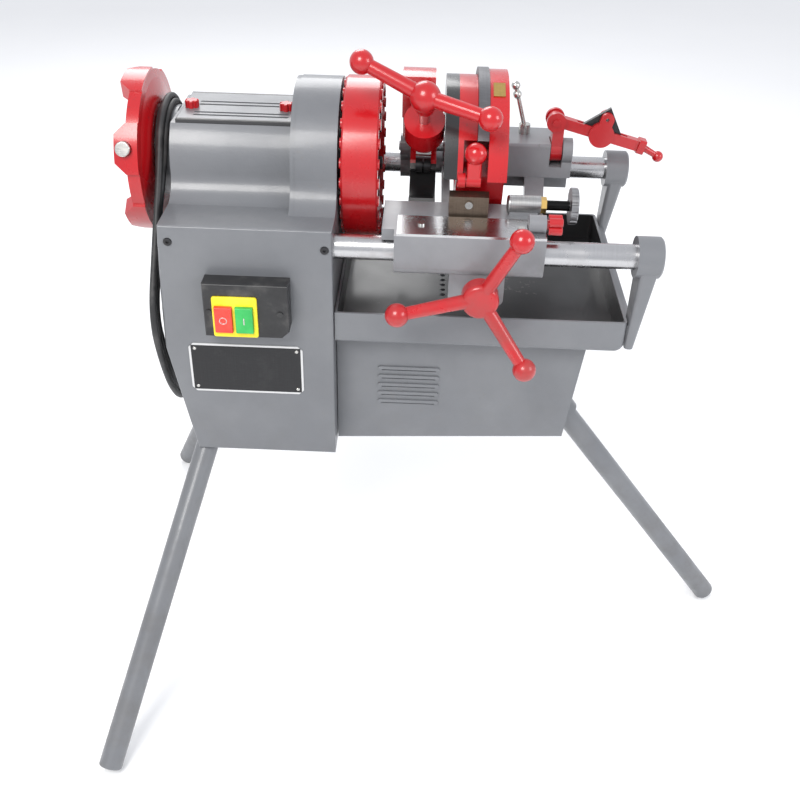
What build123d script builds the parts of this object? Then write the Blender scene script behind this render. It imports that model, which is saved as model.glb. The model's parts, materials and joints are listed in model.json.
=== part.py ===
"""Electric pipe threading machine on three legs. Millimetres, +Z up, +X along the rails."""
import os
from math import atan2, cos, degrees, pi, radians, sin, sqrt, tan

from build123d import *

# ---- driving sizes ---------------------------------------------------------
fit = 0.3               # gap round parts that move
running_fit = 0.05      # gap round shafts in their bearings
wall = 6.0              # cast walls

face_x = -130.0         # right face of the headstock
head_length = 204.0     # headstock, left face to right face
head_front_y = -62.0
head_back_y = 262.0
head_floor_z = 335.0
ledge_z = 657.0         # top of the square part of the headstock
head_left_x = face_x - head_length

spindle_y = 100.0
spindle_z = 686.0
spindle_bore_r = 31.0   # passes a 2 inch pipe, 60.3 mm
spindle_wall = 5.0
spindle_r = spindle_bore_r + spindle_wall
spindle_left_x = head_left_x - 66.0
housing_r = 76.0        # round housing over the spindle
arch_r = 97.0           # gear case arch
arch_length = 50.0
lid_seat_z = 740.0

rail_r = 15.0
rail_z = 627.0
rail_front_y = -40.0
rail_back_y = 240.0
rail_end_x = 259.0
boss_r = rail_r + 10.0
boss_length = 31.0

tray_front_y = -60.0
tray_right_x = rail_end_x - 30.0
tray_top_z = 547.0
tray_floor_z = 505.0
sheet = 4.0

leg_r = 15.0
leg_bore_r = 12.4
foot_round = 3.0
foot_front = (-406.0, -333.6)
foot_back = (-443.9, 330.4)
foot_right = (446.1, 36.0)

cord_r = 4.25           # flexible cord, 8.5 mm across
cord_exit_x = head_left_x - 10.0    # the cord leaves its gland straight down
cord_exit_y = 190.0
cord_exit_z = 440.0
gland_r = 9.5
gland_length = 30.0
gland_grip = 20.0       # length of cord held in the gland

# ---- headstock -------------------------------------------------------------
bulge = 7.0             # how far the left side swells below the ledge
foot_of_side = 21.0     # how far the left side comes in at the floor
arch_left_x = face_x - arch_length
partition_x = arch_left_x - wall
bearing_r = spindle_r + 10.0
bearing_width = 16.0
gear_module = 4.0
spindle_teeth = 40
layshaft_pinion_teeth = 8
layshaft_gear_teeth = 28
motor_pinion_teeth = 8
tooth_reach = 1.6       # how far a tooth stands out from its pitch circle
spindle_gear_r = gear_module * spindle_teeth / 2
small_pinion_r = gear_module * layshaft_pinion_teeth / 2
layshaft_gear_r = gear_module * layshaft_gear_teeth / 2
motor_pinion_r = gear_module * motor_pinion_teeth / 2
layshaft_y = 60.0
layshaft_reach = spindle_gear_r + small_pinion_r
layshaft_z = spindle_z - sqrt(layshaft_reach**2 - (spindle_y - layshaft_y) ** 2)
motor_y = layshaft_y
motor_z = layshaft_z - layshaft_gear_r - motor_pinion_r
gear_width = 14.0
spindle_gear_x = partition_x + wall + 16.0
layshaft_gear_x = partition_x + wall + 3.0
layshaft_gear_width = 10.0
layshaft_r = 8.0
cover_thickness = 4.0
cover_front_y = head_front_y - cover_thickness


def side_outline(inset, top, bottom):
    """Outline of the headstock seen from the front, drawn on the XZ plane."""
    left = head_left_x + inset
    right = face_x - inset
    middle = (ledge_z + head_floor_z) / 2
    bulged = left - bulge
    with BuildSketch(Plane.XZ, mode=Mode.PRIVATE) as outline:
        with BuildLine():
            ThreePointArc((left, top), (bulged + 2, middle + 75), (bulged, middle - 5))
            Line((bulged, middle - 5), (left + foot_of_side, bottom))
            Line((left + foot_of_side, bottom), (right, bottom))
            Line((right, bottom), (right, top))
            Line((right, top), (left, top))
        make_face()
    return outline.sketch_local


def yz_disc(x, radius, length, bore=0.0, y=spindle_y, z=spindle_z):
    """A round plate or ring standing square to the X axis."""
    with BuildPart(mode=Mode.PRIVATE) as disc:
        with BuildSketch(Plane.YZ.offset(x)):
            with Locations((y, z)):
                Circle(radius)
                if bore > 0:
                    Circle(bore, mode=Mode.SUBTRACT)
        extrude(amount=length)
    return disc.part


def sector(inner, outer, start, end):
    """Part of a ring round the spindle's axis, in YZ."""
    with BuildSketch(Plane.YZ, mode=Mode.PRIVATE) as piece:
        with BuildLine():
            for radius in (inner, outer):
                CenterArc((spindle_y, spindle_z), radius, start, end - start)
            for angle in (start, end):
                turn = radians(angle)
                Line(
                    (spindle_y + inner * cos(turn), spindle_z + inner * sin(turn)),
                    (spindle_y + outer * cos(turn), spindle_z + outer * sin(turn)),
                )
        make_face()
    return piece.sketch_local


def toothed_wheel(x, y, z, teeth, width, bore, first_angle, hub_r=0.0, hub_length=0.0):
    """A spur wheel square to the X axis with one tooth at first_angle."""
    pitch_r = gear_module * teeth / 2
    root_r = pitch_r - 0.8 * gear_module
    tip_r = pitch_r + tooth_reach
    half_root = 0.8 * gear_module
    half_tip = 0.25 * gear_module
    with BuildPart(mode=Mode.PRIVATE) as wheel:
        with BuildSketch(Plane.YZ.offset(x)):
            with Locations((y, z)):
                Circle(root_r)
                with PolarLocations(0, teeth, start_angle=first_angle):
                    Polygon(
                        (root_r - 1, -half_root),
                        (tip_r, -half_tip),
                        (tip_r, half_tip),
                        (root_r - 1, half_root),
                        align=None,
                    )
        extrude(amount=width)
        if hub_length > 0:
            with BuildSketch(Plane.YZ.offset(x)):
                with Locations((y, z)):
                    Circle(hub_r)
            extrude(amount=hub_length)
        with BuildSketch(Plane.YZ.offset(x - 1)):
            with Locations((y, z)):
                Circle(bore)
        extrude(amount=width + hub_length + 2, mode=Mode.SUBTRACT)
    return wheel.part


# Legs: each runs from its foot on the floor up into a socket.
tank_floor_left_z = head_floor_z + 3.0
tank_floor_right_z = head_floor_z + 18.0
tank_right_top_x = tray_right_x - 39.0
tank_right_floor_x = tray_right_x - 56.0
leg_top_front = (head_left_x + 38.0, head_front_y + 44.0, head_floor_z + 15.0)
leg_top_back = (head_left_x + 42.0, head_back_y - 66.0, head_floor_z + 15.0)
leg_top_right = (tank_right_floor_x - 1.0, 18.0, tank_floor_right_z + 9.0)
foot_points = {"front": foot_front, "back": foot_back, "right": foot_right}
leg_tops = {"front": leg_top_front, "back": leg_top_back, "right": leg_top_right}


def leg_axis(which):
    """Plane at the foot of a leg, its Z axis running up along the leg."""
    foot_x, foot_y = foot_points[which]
    top = leg_tops[which]
    rise = Vector(top[0] - foot_x, top[1] - foot_y, top[2]).normalized()
    lean = sqrt(1 - rise.Z**2)
    foot_z = (leg_r - foot_round) * lean + foot_round * (1 - rise.Z)
    return Plane(origin=(foot_x, foot_y, foot_z), z_dir=(rise.X, rise.Y, rise.Z))


def leg_length(which):
    foot_x, foot_y = foot_points[which]
    top = leg_tops[which]
    return sqrt((top[0] - foot_x) ** 2 + (top[1] - foot_y) ** 2 + top[2] ** 2)


socket_wall = 5.0
socket_above = 24.0
socket_below = 14.0


def leg_socket(which, bore):
    """Boss or bore for the top of one leg."""
    start = leg_length(which) - socket_below
    radius = leg_r + running_fit if bore else leg_r + socket_wall
    stretch = 1.0 if bore else 0.0
    with BuildPart(mode=Mode.PRIVATE) as boss:
        with BuildSketch(leg_axis(which).offset(start - 40 * stretch)):
            Circle(radius)
        extrude(amount=socket_below + socket_above + 40 * stretch)
    return boss.part



def housing_section(radius, shoulder, top, base):
    """End view of the round spindle housing with its fillets down to the ledge."""
    flat = sqrt(max(radius**2 - (top - spindle_z) ** 2, 0.0))
    crown = (spindle_y, min(top, spindle_z + radius))
    waist_z = spindle_z + 4
    sides = []
    with BuildSketch(Plane.YZ, mode=Mode.PRIVATE) as section:
        with BuildLine():
            for hand in (-1, 1):
                corner = (spindle_y + hand * flat, crown[1])
                upper = (spindle_y + hand * radius * cos(radians(22)), spindle_z + radius * sin(radians(22)))
                waist = (spindle_y + hand * radius, waist_z)
                hollow = (spindle_y + hand * (radius + 0.3 * shoulder), ledge_z + 0.22 * (waist_z - ledge_z))
                toe = (spindle_y + hand * (radius + shoulder), ledge_z)
                if flat > 1:
                    ThreePointArc(corner, upper, waist)
                else:
                    ThreePointArc(crown, upper, waist)
                ThreePointArc(waist, hollow, toe)
                Line(toe, (toe[0], base))
                sides.append((corner if flat > 1 else crown, (toe[0], base)))
            if flat > 1:
                Line(sides[0][0], sides[1][0])
            Line(sides[0][1], sides[1][1])
        make_face()
    return section.sketch_local


with BuildPart() as headstock_casting:
    # square lower part
    with BuildSketch(Plane.XZ.offset(-head_front_y)):
        add(side_outline(0, ledge_z, head_floor_z))
    extrude(amount=-(head_back_y - head_front_y))
    # round housing, then the taller arch of the gear case
    with BuildSketch(Plane.YZ.offset(head_left_x)):
        add(housing_section(housing_r, 40.0, lid_seat_z, ledge_z - 20))
    extrude(amount=head_length)
    with BuildSketch(Plane.YZ.offset(arch_left_x)):
        add(housing_section(arch_r, 50.0, spindle_z + arch_r, ledge_z - 20))
    extrude(amount=arch_length)
    # hollow inside: motor room, housing and gear case
    motor_room_x = head_left_x + wall
    with BuildSketch(Plane.XZ.offset(-head_front_y)):
        add(side_outline(wall, ledge_z - wall, head_floor_z + wall))
    extrude(amount=-(head_back_y - head_front_y - wall), mode=Mode.SUBTRACT)
    add(yz_disc(motor_room_x, housing_r - wall, partition_x - motor_room_x), mode=Mode.SUBTRACT)
    add(yz_disc(arch_left_x, arch_r - wall, arch_length - wall), mode=Mode.SUBTRACT)
    # partition between the motor room and the gear case
    with BuildSketch(Plane.YZ.offset(partition_x)):
        with Locations(((head_front_y + head_back_y) / 2, (ledge_z + head_floor_z) / 2)):
            Rectangle(head_back_y - head_front_y - wall, ledge_z - head_floor_z - wall)
        add(housing_section(arch_r - 1, 50.0, spindle_z + arch_r - 1, ledge_z - 10))
    extrude(amount=wall)
    add(yz_disc(partition_x - 1, spindle_gear_r - 20, wall + 2), mode=Mode.SUBTRACT)
    # bosses and bores for the bearings and the layshaft
    add(yz_disc(head_left_x, bearing_r + wall, bearing_width + 6))
    add(yz_disc(face_x - bearing_width - 2, bearing_r + wall, bearing_width + 2))
    add(yz_disc(head_left_x - 1, bearing_r, bearing_width + 8), mode=Mode.SUBTRACT)
    add(yz_disc(face_x - bearing_width - 3, bearing_r, bearing_width + 4), mode=Mode.SUBTRACT)
    layshaft_bore = layshaft_r + running_fit
    add(yz_disc(face_x - wall - 4, layshaft_r + wall, wall + 3, 0, layshaft_y, layshaft_z))
    add(yz_disc(partition_x - 6, layshaft_bore, face_x - 2 - partition_x + 6, 0, layshaft_y, layshaft_z),
        mode=Mode.SUBTRACT)
    add(yz_disc(partition_x - 1, motor_pinion_r + tooth_reach + 2, wall + 2, 0, motor_y, motor_z),
        mode=Mode.SUBTRACT)
    # bores for the two rails
    for y in (rail_front_y, rail_back_y):
        add(yz_disc(partition_x + wall, rail_r + wall, arch_length - wall, 0, y, rail_z))
        add(yz_disc(partition_x + wall, rail_r + running_fit, arch_length + 1, 0, y, rail_z), mode=Mode.SUBTRACT)
    # opening in the top of the housing under the lid
    with BuildSketch(Plane.XY.offset(lid_seat_z - 30)):
        with Locations(((motor_room_x + 12 + partition_x) / 2, spindle_y)):
            Rectangle(partition_x - motor_room_x - 36, 70)
    extrude(amount=40, mode=Mode.SUBTRACT)
    # sockets for the two left legs
    for which in ("front", "back"):
        add(leg_socket(which, bore=False))
        add(leg_socket(which, bore=True), mode=Mode.SUBTRACT)
    # gland for the cord at the back of the left side, open downwards
    with BuildSketch(Plane.XY.offset(cord_exit_z)):
        with Locations((cord_exit_x, cord_exit_y)):
            Circle(gland_r)
        with Locations((cord_exit_x + gland_r, cord_exit_y)):
            Rectangle(2 * gland_r, 2 * gland_r)
    extrude(amount=gland_length)
    with BuildSketch(Plane.XY.offset(cord_exit_z)):
        with Locations((cord_exit_x, cord_exit_y)):
            Circle(cord_r)
    extrude(amount=gland_grip, mode=Mode.SUBTRACT)

screw_r = 3.0
cover_screw_places = ((head_left_x + 11, ledge_z - 20), (face_x - 9, ledge_z - 24))
with BuildPart() as front_cover:
    with BuildSketch(Plane.XZ.offset(-head_front_y)):
        add(side_outline(0, ledge_z, head_floor_z))
    extrude(amount=cover_thickness)
    fillet(front_cover.edges().group_by(Axis.Y)[0], radius=2.5)
    with Locations(Plane.XZ.offset(-cover_front_y)):
        with Locations(*cover_screw_places):
            CounterBoreHole(radius=screw_r + 0.2, counter_bore_radius=5.2, counter_bore_depth=1.5)

with BuildPart() as panel_screws:
    with BuildSketch(Plane.XZ.offset(-head_front_y)):
        with Locations(*cover_screw_places):
            Circle(screw_r)
    extrude(amount=cover_thickness - 1.5)
    with BuildSketch(Plane.XZ.offset(-cover_front_y - 1.5)):
        with Locations(*cover_screw_places):
            Circle(4.8)
    extrude(amount=2.6)
    with BuildSketch(Plane.XZ.offset(-cover_front_y + 1.1)):
        with Locations(*cover_screw_places):
            RegularPolygon(2.2, 6)
    extrude(amount=-1.8, mode=Mode.SUBTRACT)

lid_thickness = 5.0
lid_left_x = head_left_x + 6
lid_right_x = partition_x - 1
lid_half_width = sqrt(housing_r**2 - (lid_seat_z - spindle_z) ** 2) - 1
lid_knob_x = (lid_left_x + 12, lid_right_x - 12)
lid_knob_y = spindle_y - 8
groove_ys = (spindle_y + 14, spindle_y + 3, spindle_y - 26, spindle_y - 36)
with BuildPart() as top_lid:
    with BuildSketch(Plane.XY.offset(lid_seat_z)):
        with Locations(((lid_left_x + lid_right_x) / 2, spindle_y)):
            Rectangle(lid_right_x - lid_left_x, 2 * lid_half_width)
    extrude(amount=lid_thickness)
    fillet(top_lid.edges().group_by(Axis.Z)[-1], radius=1.5)
    with BuildSketch(Plane.XY.offset(lid_seat_z + lid_thickness)):
        for y in groove_ys:
            with Locations(((lid_left_x + lid_right_x) / 2 + 6, y)):
                SlotOverall(lid_right_x - lid_left_x - 24, 4.5)
    extrude(amount=-3.2, mode=Mode.SUBTRACT)
    with Locations(Plane.XY.offset(lid_seat_z + lid_thickness)):
        with Locations(*[(x, lid_knob_y) for x in lid_knob_x]):
            Hole(radius=3.2)

with BuildPart() as lid_knobs:
    with BuildSketch(Plane.XY.offset(lid_seat_z - 0.0)):
        with Locations(*[(x, lid_knob_y) for x in lid_knob_x]):
            Circle(3.0)
    extrude(amount=lid_thickness)
    with BuildSketch(Plane.XY.offset(lid_seat_z + lid_thickness)):
        with Locations(*[(x, lid_knob_y) for x in lid_knob_x]):
            Circle(8.5)
            with PolarLocations(8.5, 6):
                Circle(2.2, mode=Mode.SUBTRACT)
    extrude(amount=9)
    fillet(lid_knobs.edges().group_by(Axis.Z)[-1], radius=1.2)

neck_r = spindle_r + 20.0
neck_length = 23.0
with BuildPart() as rear_bearing_cap:
    add(yz_disc(head_left_x - neck_length, neck_r, neck_length, spindle_r + 1.5))
    with BuildSketch(Plane.XZ.offset(-head_front_y)):
        add(side_outline(0, ledge_z, head_floor_z))
    extrude(amount=-(head_back_y - head_front_y), mode=Mode.SUBTRACT)
    chamfer(rear_bearing_cap.edges().filter_by(GeomType.CIRCLE).group_by(Axis.X)[0].sort_by(Edge.radius)[-1], 2)

with BuildPart() as spindle_bearings:
    for x in (head_left_x + 0.5, face_x - bearing_width - 0.5):
        add(yz_disc(x, bearing_r, bearing_width, spindle_r + running_fit))
        with BuildSketch(Plane.YZ.offset(x + bearing_width)):
            with Locations((spindle_y, spindle_z)):
                Circle(bearing_r - 3)
                Circle(spindle_r + 3, mode=Mode.SUBTRACT)
        extrude(amount=-2, mode=Mode.SUBTRACT)

# ---- motor and gear train --------------------------------------------------
motor_r = 50.0
motor_left_x = head_left_x + 22
motor_shaft_r = 6.0
with BuildPart() as gear_motor:
    add(yz_disc(motor_left_x, motor_r, partition_x - motor_left_x - 34, 0, motor_y, motor_z))
    fillet(gear_motor.edges().group_by(Axis.X)[0], radius=9)
    add(yz_disc(partition_x - 34, motor_r - 6, 34, 0, motor_y, motor_z))
    with BuildSketch(Plane.YZ.offset(partition_x - 8)):
        with Locations((motor_y, motor_z)):
            RectangleRounded(104, 96, 12)
    extrude(amount=8)
    with BuildSketch(Plane.YZ.offset(motor_left_x + 14)):
        with Locations((motor_y, motor_z)):
            with PolarLocations(motor_r, 24):
                Rectangle(5, 3)
    extrude(amount=partition_x - motor_left_x - 60, mode=Mode.SUBTRACT)
    add(yz_disc(partition_x - 32, motor_shaft_r + running_fit, 33, 0, motor_y, motor_z), mode=Mode.SUBTRACT)

to_layshaft = degrees(atan2(layshaft_z - spindle_z, layshaft_y - spindle_y))
spindle_gear_step = 360 / spindle_teeth
layshaft_gear_step = 360 / layshaft_gear_teeth
with BuildPart() as spindle_gear:
    add(toothed_wheel(spindle_gear_x, spindle_y, spindle_z, spindle_teeth, gear_width, spindle_r,
                      to_layshaft + spindle_gear_step / 2))
    with BuildSketch(Plane.YZ.offset(spindle_gear_x + gear_width)):
        with Locations((spindle_y, spindle_z)):
            with PolarLocations(56, 6):
                Circle(9)
    extrude(amount=-gear_width, mode=Mode.SUBTRACT)

with BuildPart() as layshaft:
    add(toothed_wheel(layshaft_gear_x, layshaft_y, layshaft_z, layshaft_gear_teeth, layshaft_gear_width,
                      layshaft_r - 1, -90 + layshaft_gear_step / 2))
    add(toothed_wheel(spindle_gear_x - 1, layshaft_y, layshaft_z, layshaft_pinion_teeth, gear_width + 2,
                      layshaft_r - 1, to_layshaft + 180))
    add(yz_disc(partition_x - 5, layshaft_r, face_x - 3 - partition_x + 5, 0, layshaft_y, layshaft_z))

with BuildPart() as motor_pinion:
    add(toothed_wheel(layshaft_gear_x, motor_y, motor_z, motor_pinion_teeth, layshaft_gear_width,
                      motor_shaft_r - 1, 90))
    add(yz_disc(partition_x - 31, motor_shaft_r, 31 + wall + layshaft_gear_width + 4, 0, motor_y, motor_z))

# ---- spindle, chuck and centring wheel -------------------------------------
nose_r = 58.0
nose_left_x = face_x + 14
nose_length = 24.0
jaw_width = 14.0
jaw_open_r = spindle_bore_r + 2.0
jaw_outer_r = 56.0
jaw_left_x = nose_left_x + 6
jaw_length = 28.0
jaw_angles = (90, 210, 330)
screw_plane_x = head_left_x - 48.0
lug_first_angle = 160
screw_angles = (lug_first_angle, lug_first_angle + 120, lug_first_angle - 120)
screw_body_r = 6.0


def outward_plane(x, angle):
    """Plane through the spindle's axis at x, its Z axis running outwards at this angle."""
    outward = (0, cos(radians(angle)), sin(radians(angle)))
    return Plane((x, spindle_y, spindle_z), x_dir=(1, 0, 0), z_dir=outward)


def screw_plane(angle):
    """Plane across one centring screw."""
    return outward_plane(screw_plane_x, angle)


with BuildPart() as spindle:
    add(yz_disc(spindle_left_x, spindle_r, nose_left_x - spindle_left_x, spindle_bore_r))
    add(yz_disc(nose_left_x, nose_r, nose_length, spindle_bore_r))
    for angle in jaw_angles:
        with BuildSketch(Plane.YZ.offset(jaw_left_x - fit)):
            with Locations((spindle_y, spindle_z)):
                with PolarLocations(0, 1, start_angle=angle):
                    with Locations((spindle_bore_r + 20, 0)):
                        Rectangle(60, jaw_width + 2 * fit)
        extrude(amount=nose_length, mode=Mode.SUBTRACT)
    for angle in screw_angles:
        with BuildSketch(screw_plane(angle).offset(spindle_bore_r - 4)):
            Circle(screw_body_r + fit)
        extrude(amount=14, mode=Mode.SUBTRACT)

jaws = []
for number, angle in enumerate(jaw_angles, start=1):
    with BuildPart() as jaw:
        with BuildSketch(Plane.YZ.offset(jaw_left_x)):
            with Locations((spindle_y, spindle_z)):
                with PolarLocations(0, 1, start_angle=angle):
                    Polygon(
                        (jaw_open_r, -3),
                        (jaw_open_r + 5, -jaw_width / 2),
                        (jaw_outer_r, -jaw_width / 2),
                        (jaw_outer_r, jaw_width / 2),
                        (jaw_open_r + 5, jaw_width / 2),
                        (jaw_open_r, 3),
                        align=None,
                    )
        extrude(amount=jaw_length)
    jaw.part.label = f"chuck_jaw_{number}"
    jaws.append(jaw.part)

chuck_left_x = face_x + 2.5
chuck_length = 48.0
chuck_r = 99.0
flange_width = 4.0
chuck_bumps = 24
with BuildPart() as chuck_wheel:
    with BuildSketch(Plane((0, spindle_y, spindle_z), x_dir=(1, 0, 0), z_dir=(0, 1, 0))):
        with BuildLine():
            inner = nose_r + fit
            rim_left = chuck_left_x + flange_width
            rim_right = chuck_left_x + chuck_length - flange_width
            Polyline(
                (nose_left_x, -inner),
                (nose_left_x, -(inner + 10)),
                (rim_left - 2, -(chuck_r - 14)),
                (rim_left - 2, -(chuck_r - 2)),
                (rim_left, -chuck_r),
                (rim_right, -chuck_r),
                (rim_right + 2, -(chuck_r - 2)),
                (rim_right + 2, -(chuck_r - 14)),
                (nose_left_x + nose_length, -(inner + 10)),
                (nose_left_x + nose_length, -inner),
                close=True,
            )
        make_face()
    revolve(axis=Axis((0, spindle_y, spindle_z), (1, 0, 0)))
    for x in (chuck_left_x, chuck_left_x + chuck_length - flange_width - 3):
        with BuildSketch(Plane.YZ.offset(x)):
            with Locations((spindle_y, spindle_z)):
                with PolarLocations(chuck_r - 9, chuck_bumps):
                    Circle(6.5)
        extrude(amount=flange_width + 3)

hub_left_x = head_left_x - 61.0
rim_left_x = head_left_x - 47.0
rim_right_x = head_left_x - 32.0
dish_right_x = head_left_x - 25.0
rim_r = 98.0
lug_count = 6
lug_rise = 13.0
lug_half_base = 30.0
lug_half_top = 17.0
lug_low_r = 80.0
pocket_low_r = 84.0
screw_head_width_r = 9.0
with BuildPart(mode=Mode.PRIVATE) as wheel_lugs:
    for number in range(lug_count):
        lug_angle = lug_first_angle + number * 360 / lug_count
        with BuildSketch(outward_plane(rim_left_x, lug_angle).offset(lug_low_r)):
            Polygon(
                (rim_right_x - rim_left_x, -lug_half_base),
                (0, -lug_half_base),
                (-lug_rise, -lug_half_top),
                (-lug_rise, lug_half_top),
                (0, lug_half_base),
                (rim_right_x - rim_left_x, lug_half_base),
                align=None,
            )
        extrude(amount=rim_r + 8 - lug_low_r)
    add(yz_disc(rim_left_x - 2 * lug_rise, rim_r + 3, 60), mode=Mode.INTERSECT)

with BuildPart() as rear_wheel:
    with BuildSketch(Plane((0, spindle_y, spindle_z), x_dir=(1, 0, 0), z_dir=(0, 1, 0))):
        with BuildLine():
            Polyline(
                (rim_left_x, -rim_r),
                (rim_right_x, -rim_r),
                (rim_right_x + 1, -88),
                (dish_right_x, -62),
                (dish_right_x, -spindle_r),
                (hub_left_x, -spindle_r),
                (hub_left_x, -(spindle_r + 8)),
                (rim_left_x + 2, -(spindle_r + 14)),
                (rim_left_x + 4, -84),
                (rim_left_x, -88),
                close=True,
            )
        make_face()
    revolve(axis=Axis((0, spindle_y, spindle_z), (1, 0, 0)))
    add(wheel_lugs.part)
    for angle in screw_angles:
        with BuildSketch(screw_plane(angle).offset(spindle_r - 1)):
            Circle(screw_body_r + fit)
        extrude(amount=90, mode=Mode.SUBTRACT)
        with BuildSketch(screw_plane(angle).offset(pocket_low_r)):
            Circle(screw_head_width_r + fit)
        extrude(amount=30, mode=Mode.SUBTRACT)

screw_point_r = jaw_open_r + 1
screw_head_r = 103.0
screws = []
for number, angle in enumerate(screw_angles, start=1):
    outward = screw_plane(angle)
    with BuildPart() as screw:
        with BuildSketch(outward.offset(screw_point_r)):
            Circle(screw_body_r)
        extrude(amount=screw_head_r - screw_point_r)
        with BuildSketch(outward.offset(screw_head_r)):
            Circle(screw_head_width_r)
        extrude(amount=5)
        fillet(screw.faces().sort_by(Axis((0, spindle_y, spindle_z), outward.z_dir))[-1].edges(), radius=1.5)
    screw.part.label = f"centring_screw_{number}"
    screws.append(screw.part)
# ---- rails, end bracket, tray and tank -------------------------------------
rack_pitch_depth = rail_r - 3.0     # pitch line of the rack below the rail's axis
rack_root = 2.5
rack_tip = 1.4
pinion_teeth = 18
pinion_pitch_r = 24.0
rack_pitch = 2 * pi * pinion_pitch_r / pinion_teeth
rack_half_width = 6.0
rack_left_x = -60.0
rack_tooth_count = 24
pinion_x = 45.0
pinion_z = rail_z - rack_pitch_depth - pinion_pitch_r
rail_left_x = face_x - 34

with BuildPart() as front_rail:
    add(yz_disc(rail_left_x, rail_r, rail_end_x - 6 - rail_left_x, 0, rail_front_y, rail_z))
    # rack milled into the underside
    with BuildSketch(Plane.XZ.offset(-rail_front_y - rack_half_width)):
        slot_middle_x = rack_left_x + rack_pitch * rack_tooth_count / 2
        with Locations((slot_middle_x, rail_z - rail_r)):
            Rectangle(rack_pitch * rack_tooth_count, 2 * (rail_r - rack_pitch_depth + rack_root - 0.5))
    extrude(amount=2 * rack_half_width, mode=Mode.SUBTRACT)
    with BuildSketch(Plane.XZ.offset(-rail_front_y - rack_half_width)):
        for number in range(rack_tooth_count):
            tooth_x = pinion_x + (number + 0.5 - 13) * rack_pitch
            if rack_left_x + 3 < tooth_x < rack_left_x + rack_pitch * rack_tooth_count - 3:
                with Locations((tooth_x, rail_z)):
                    Polygon(
                        (-2.9, rack_root - rack_pitch_depth),
                        (2.9, rack_root - rack_pitch_depth),
                        (1.2, -rack_tip - rack_pitch_depth),
                        (-1.2, -rack_tip - rack_pitch_depth),
                        align=None,
                    )
    extrude(amount=2 * rack_half_width)

with BuildPart() as back_rail:
    add(yz_disc(rail_left_x, rail_r, rail_end_x - 6 - rail_left_x, 0, rail_back_y, rail_z))

with BuildPart() as end_bracket:
    boss_left_x = rail_end_x - boss_length
    foot_left_x = tray_right_x + 0.5
    for y, lean in ((rail_front_y, -8.0), (rail_back_y, 8.0)):
        add(yz_disc(boss_left_x, boss_r, boss_length, 0, y, rail_z))
        with BuildSketch(Plane.XY.offset(rail_z - 8)):
            with Locations((rail_end_x - boss_length / 2 + 1, y)):
                RectangleRounded(22, 42, 5)
        with BuildSketch(Plane.XY.offset(tray_floor_z + 6)):
            with Locations((foot_left_x + 5.5, y + lean)):
                RectangleRounded(11, 26, 5)
        loft()
    # foot plate across the end of the tray
    with BuildSketch(Plane.XY.offset(tray_floor_z + 6)):
        with Locations((foot_left_x + 4, (rail_front_y + rail_back_y) / 2)):
            Rectangle(8, rail_back_y - rail_front_y + 30)
    extrude(amount=tray_top_z - tray_floor_z - 12)
    for y in (rail_front_y, rail_back_y):
        add(yz_disc(boss_left_x - 1, rail_r + running_fit, boss_length - 5, 0, y, rail_z), mode=Mode.SUBTRACT)
    chamfer(end_bracket.faces().sort_by(Axis.X)[-2:].edges().filter_by(GeomType.CIRCLE), length=2.5)

drain_rows = 6
with BuildPart() as chip_tray:
    tray_middle_x = (face_x + 1 + tray_right_x) / 2
    tray_middle_y = (tray_front_y + head_back_y) / 2
    with BuildSketch(Plane.XY.offset(tray_floor_z)):
        with Locations((tray_middle_x, tray_middle_y)):
            Rectangle(tray_right_x - face_x - 1, head_back_y - tray_front_y)
    extrude(amount=tray_top_z - tray_floor_z)
    fillet(chip_tray.edges().filter_by(Axis.Y).sort_by(Axis.Z)[0:2].sort_by(Axis.X)[-1:], radius=12)
    fillet(chip_tray.edges().filter_by(Axis.Z).group_by(Axis.X)[-1], radius=6)
    with BuildSketch(Plane.XY.offset(tray_floor_z + sheet)):
        with Locations((tray_middle_x, tray_middle_y)):
            RectangleRounded(tray_right_x - face_x - 1 - 2 * sheet, head_back_y - tray_front_y - 2 * sheet, 5)
    extrude(amount=tray_top_z - tray_floor_z, mode=Mode.SUBTRACT)
    with BuildSketch(Plane.XY.offset(tray_floor_z)):
        with Locations((40, tray_middle_y)):
            with GridLocations(14, 14, drain_rows, drain_rows):
                Circle(3.5)
    extrude(amount=sheet, mode=Mode.SUBTRACT)

tank_front_y = -32.0
tank_back_y = 250.0
louvre_count = 5
louvre_pitch = 12.9
louvre_length = 80.0
louvre_middle_x = -36.0
louvre_top_z = 452.0


def tank_outline(inset, top):
    """Front view of the tank cabinet."""
    with BuildSketch(Plane.XZ, mode=Mode.PRIVATE) as outline:
        with BuildLine():
            Polyline(
                (face_x + 1 + inset, top),
                (tank_right_top_x - inset, top),
                (tank_right_floor_x - inset, tank_floor_right_z + inset),
                (face_x + 1 + inset, tank_floor_left_z + inset),
                close=True,
            )
        make_face()
    return outline.sketch


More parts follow.
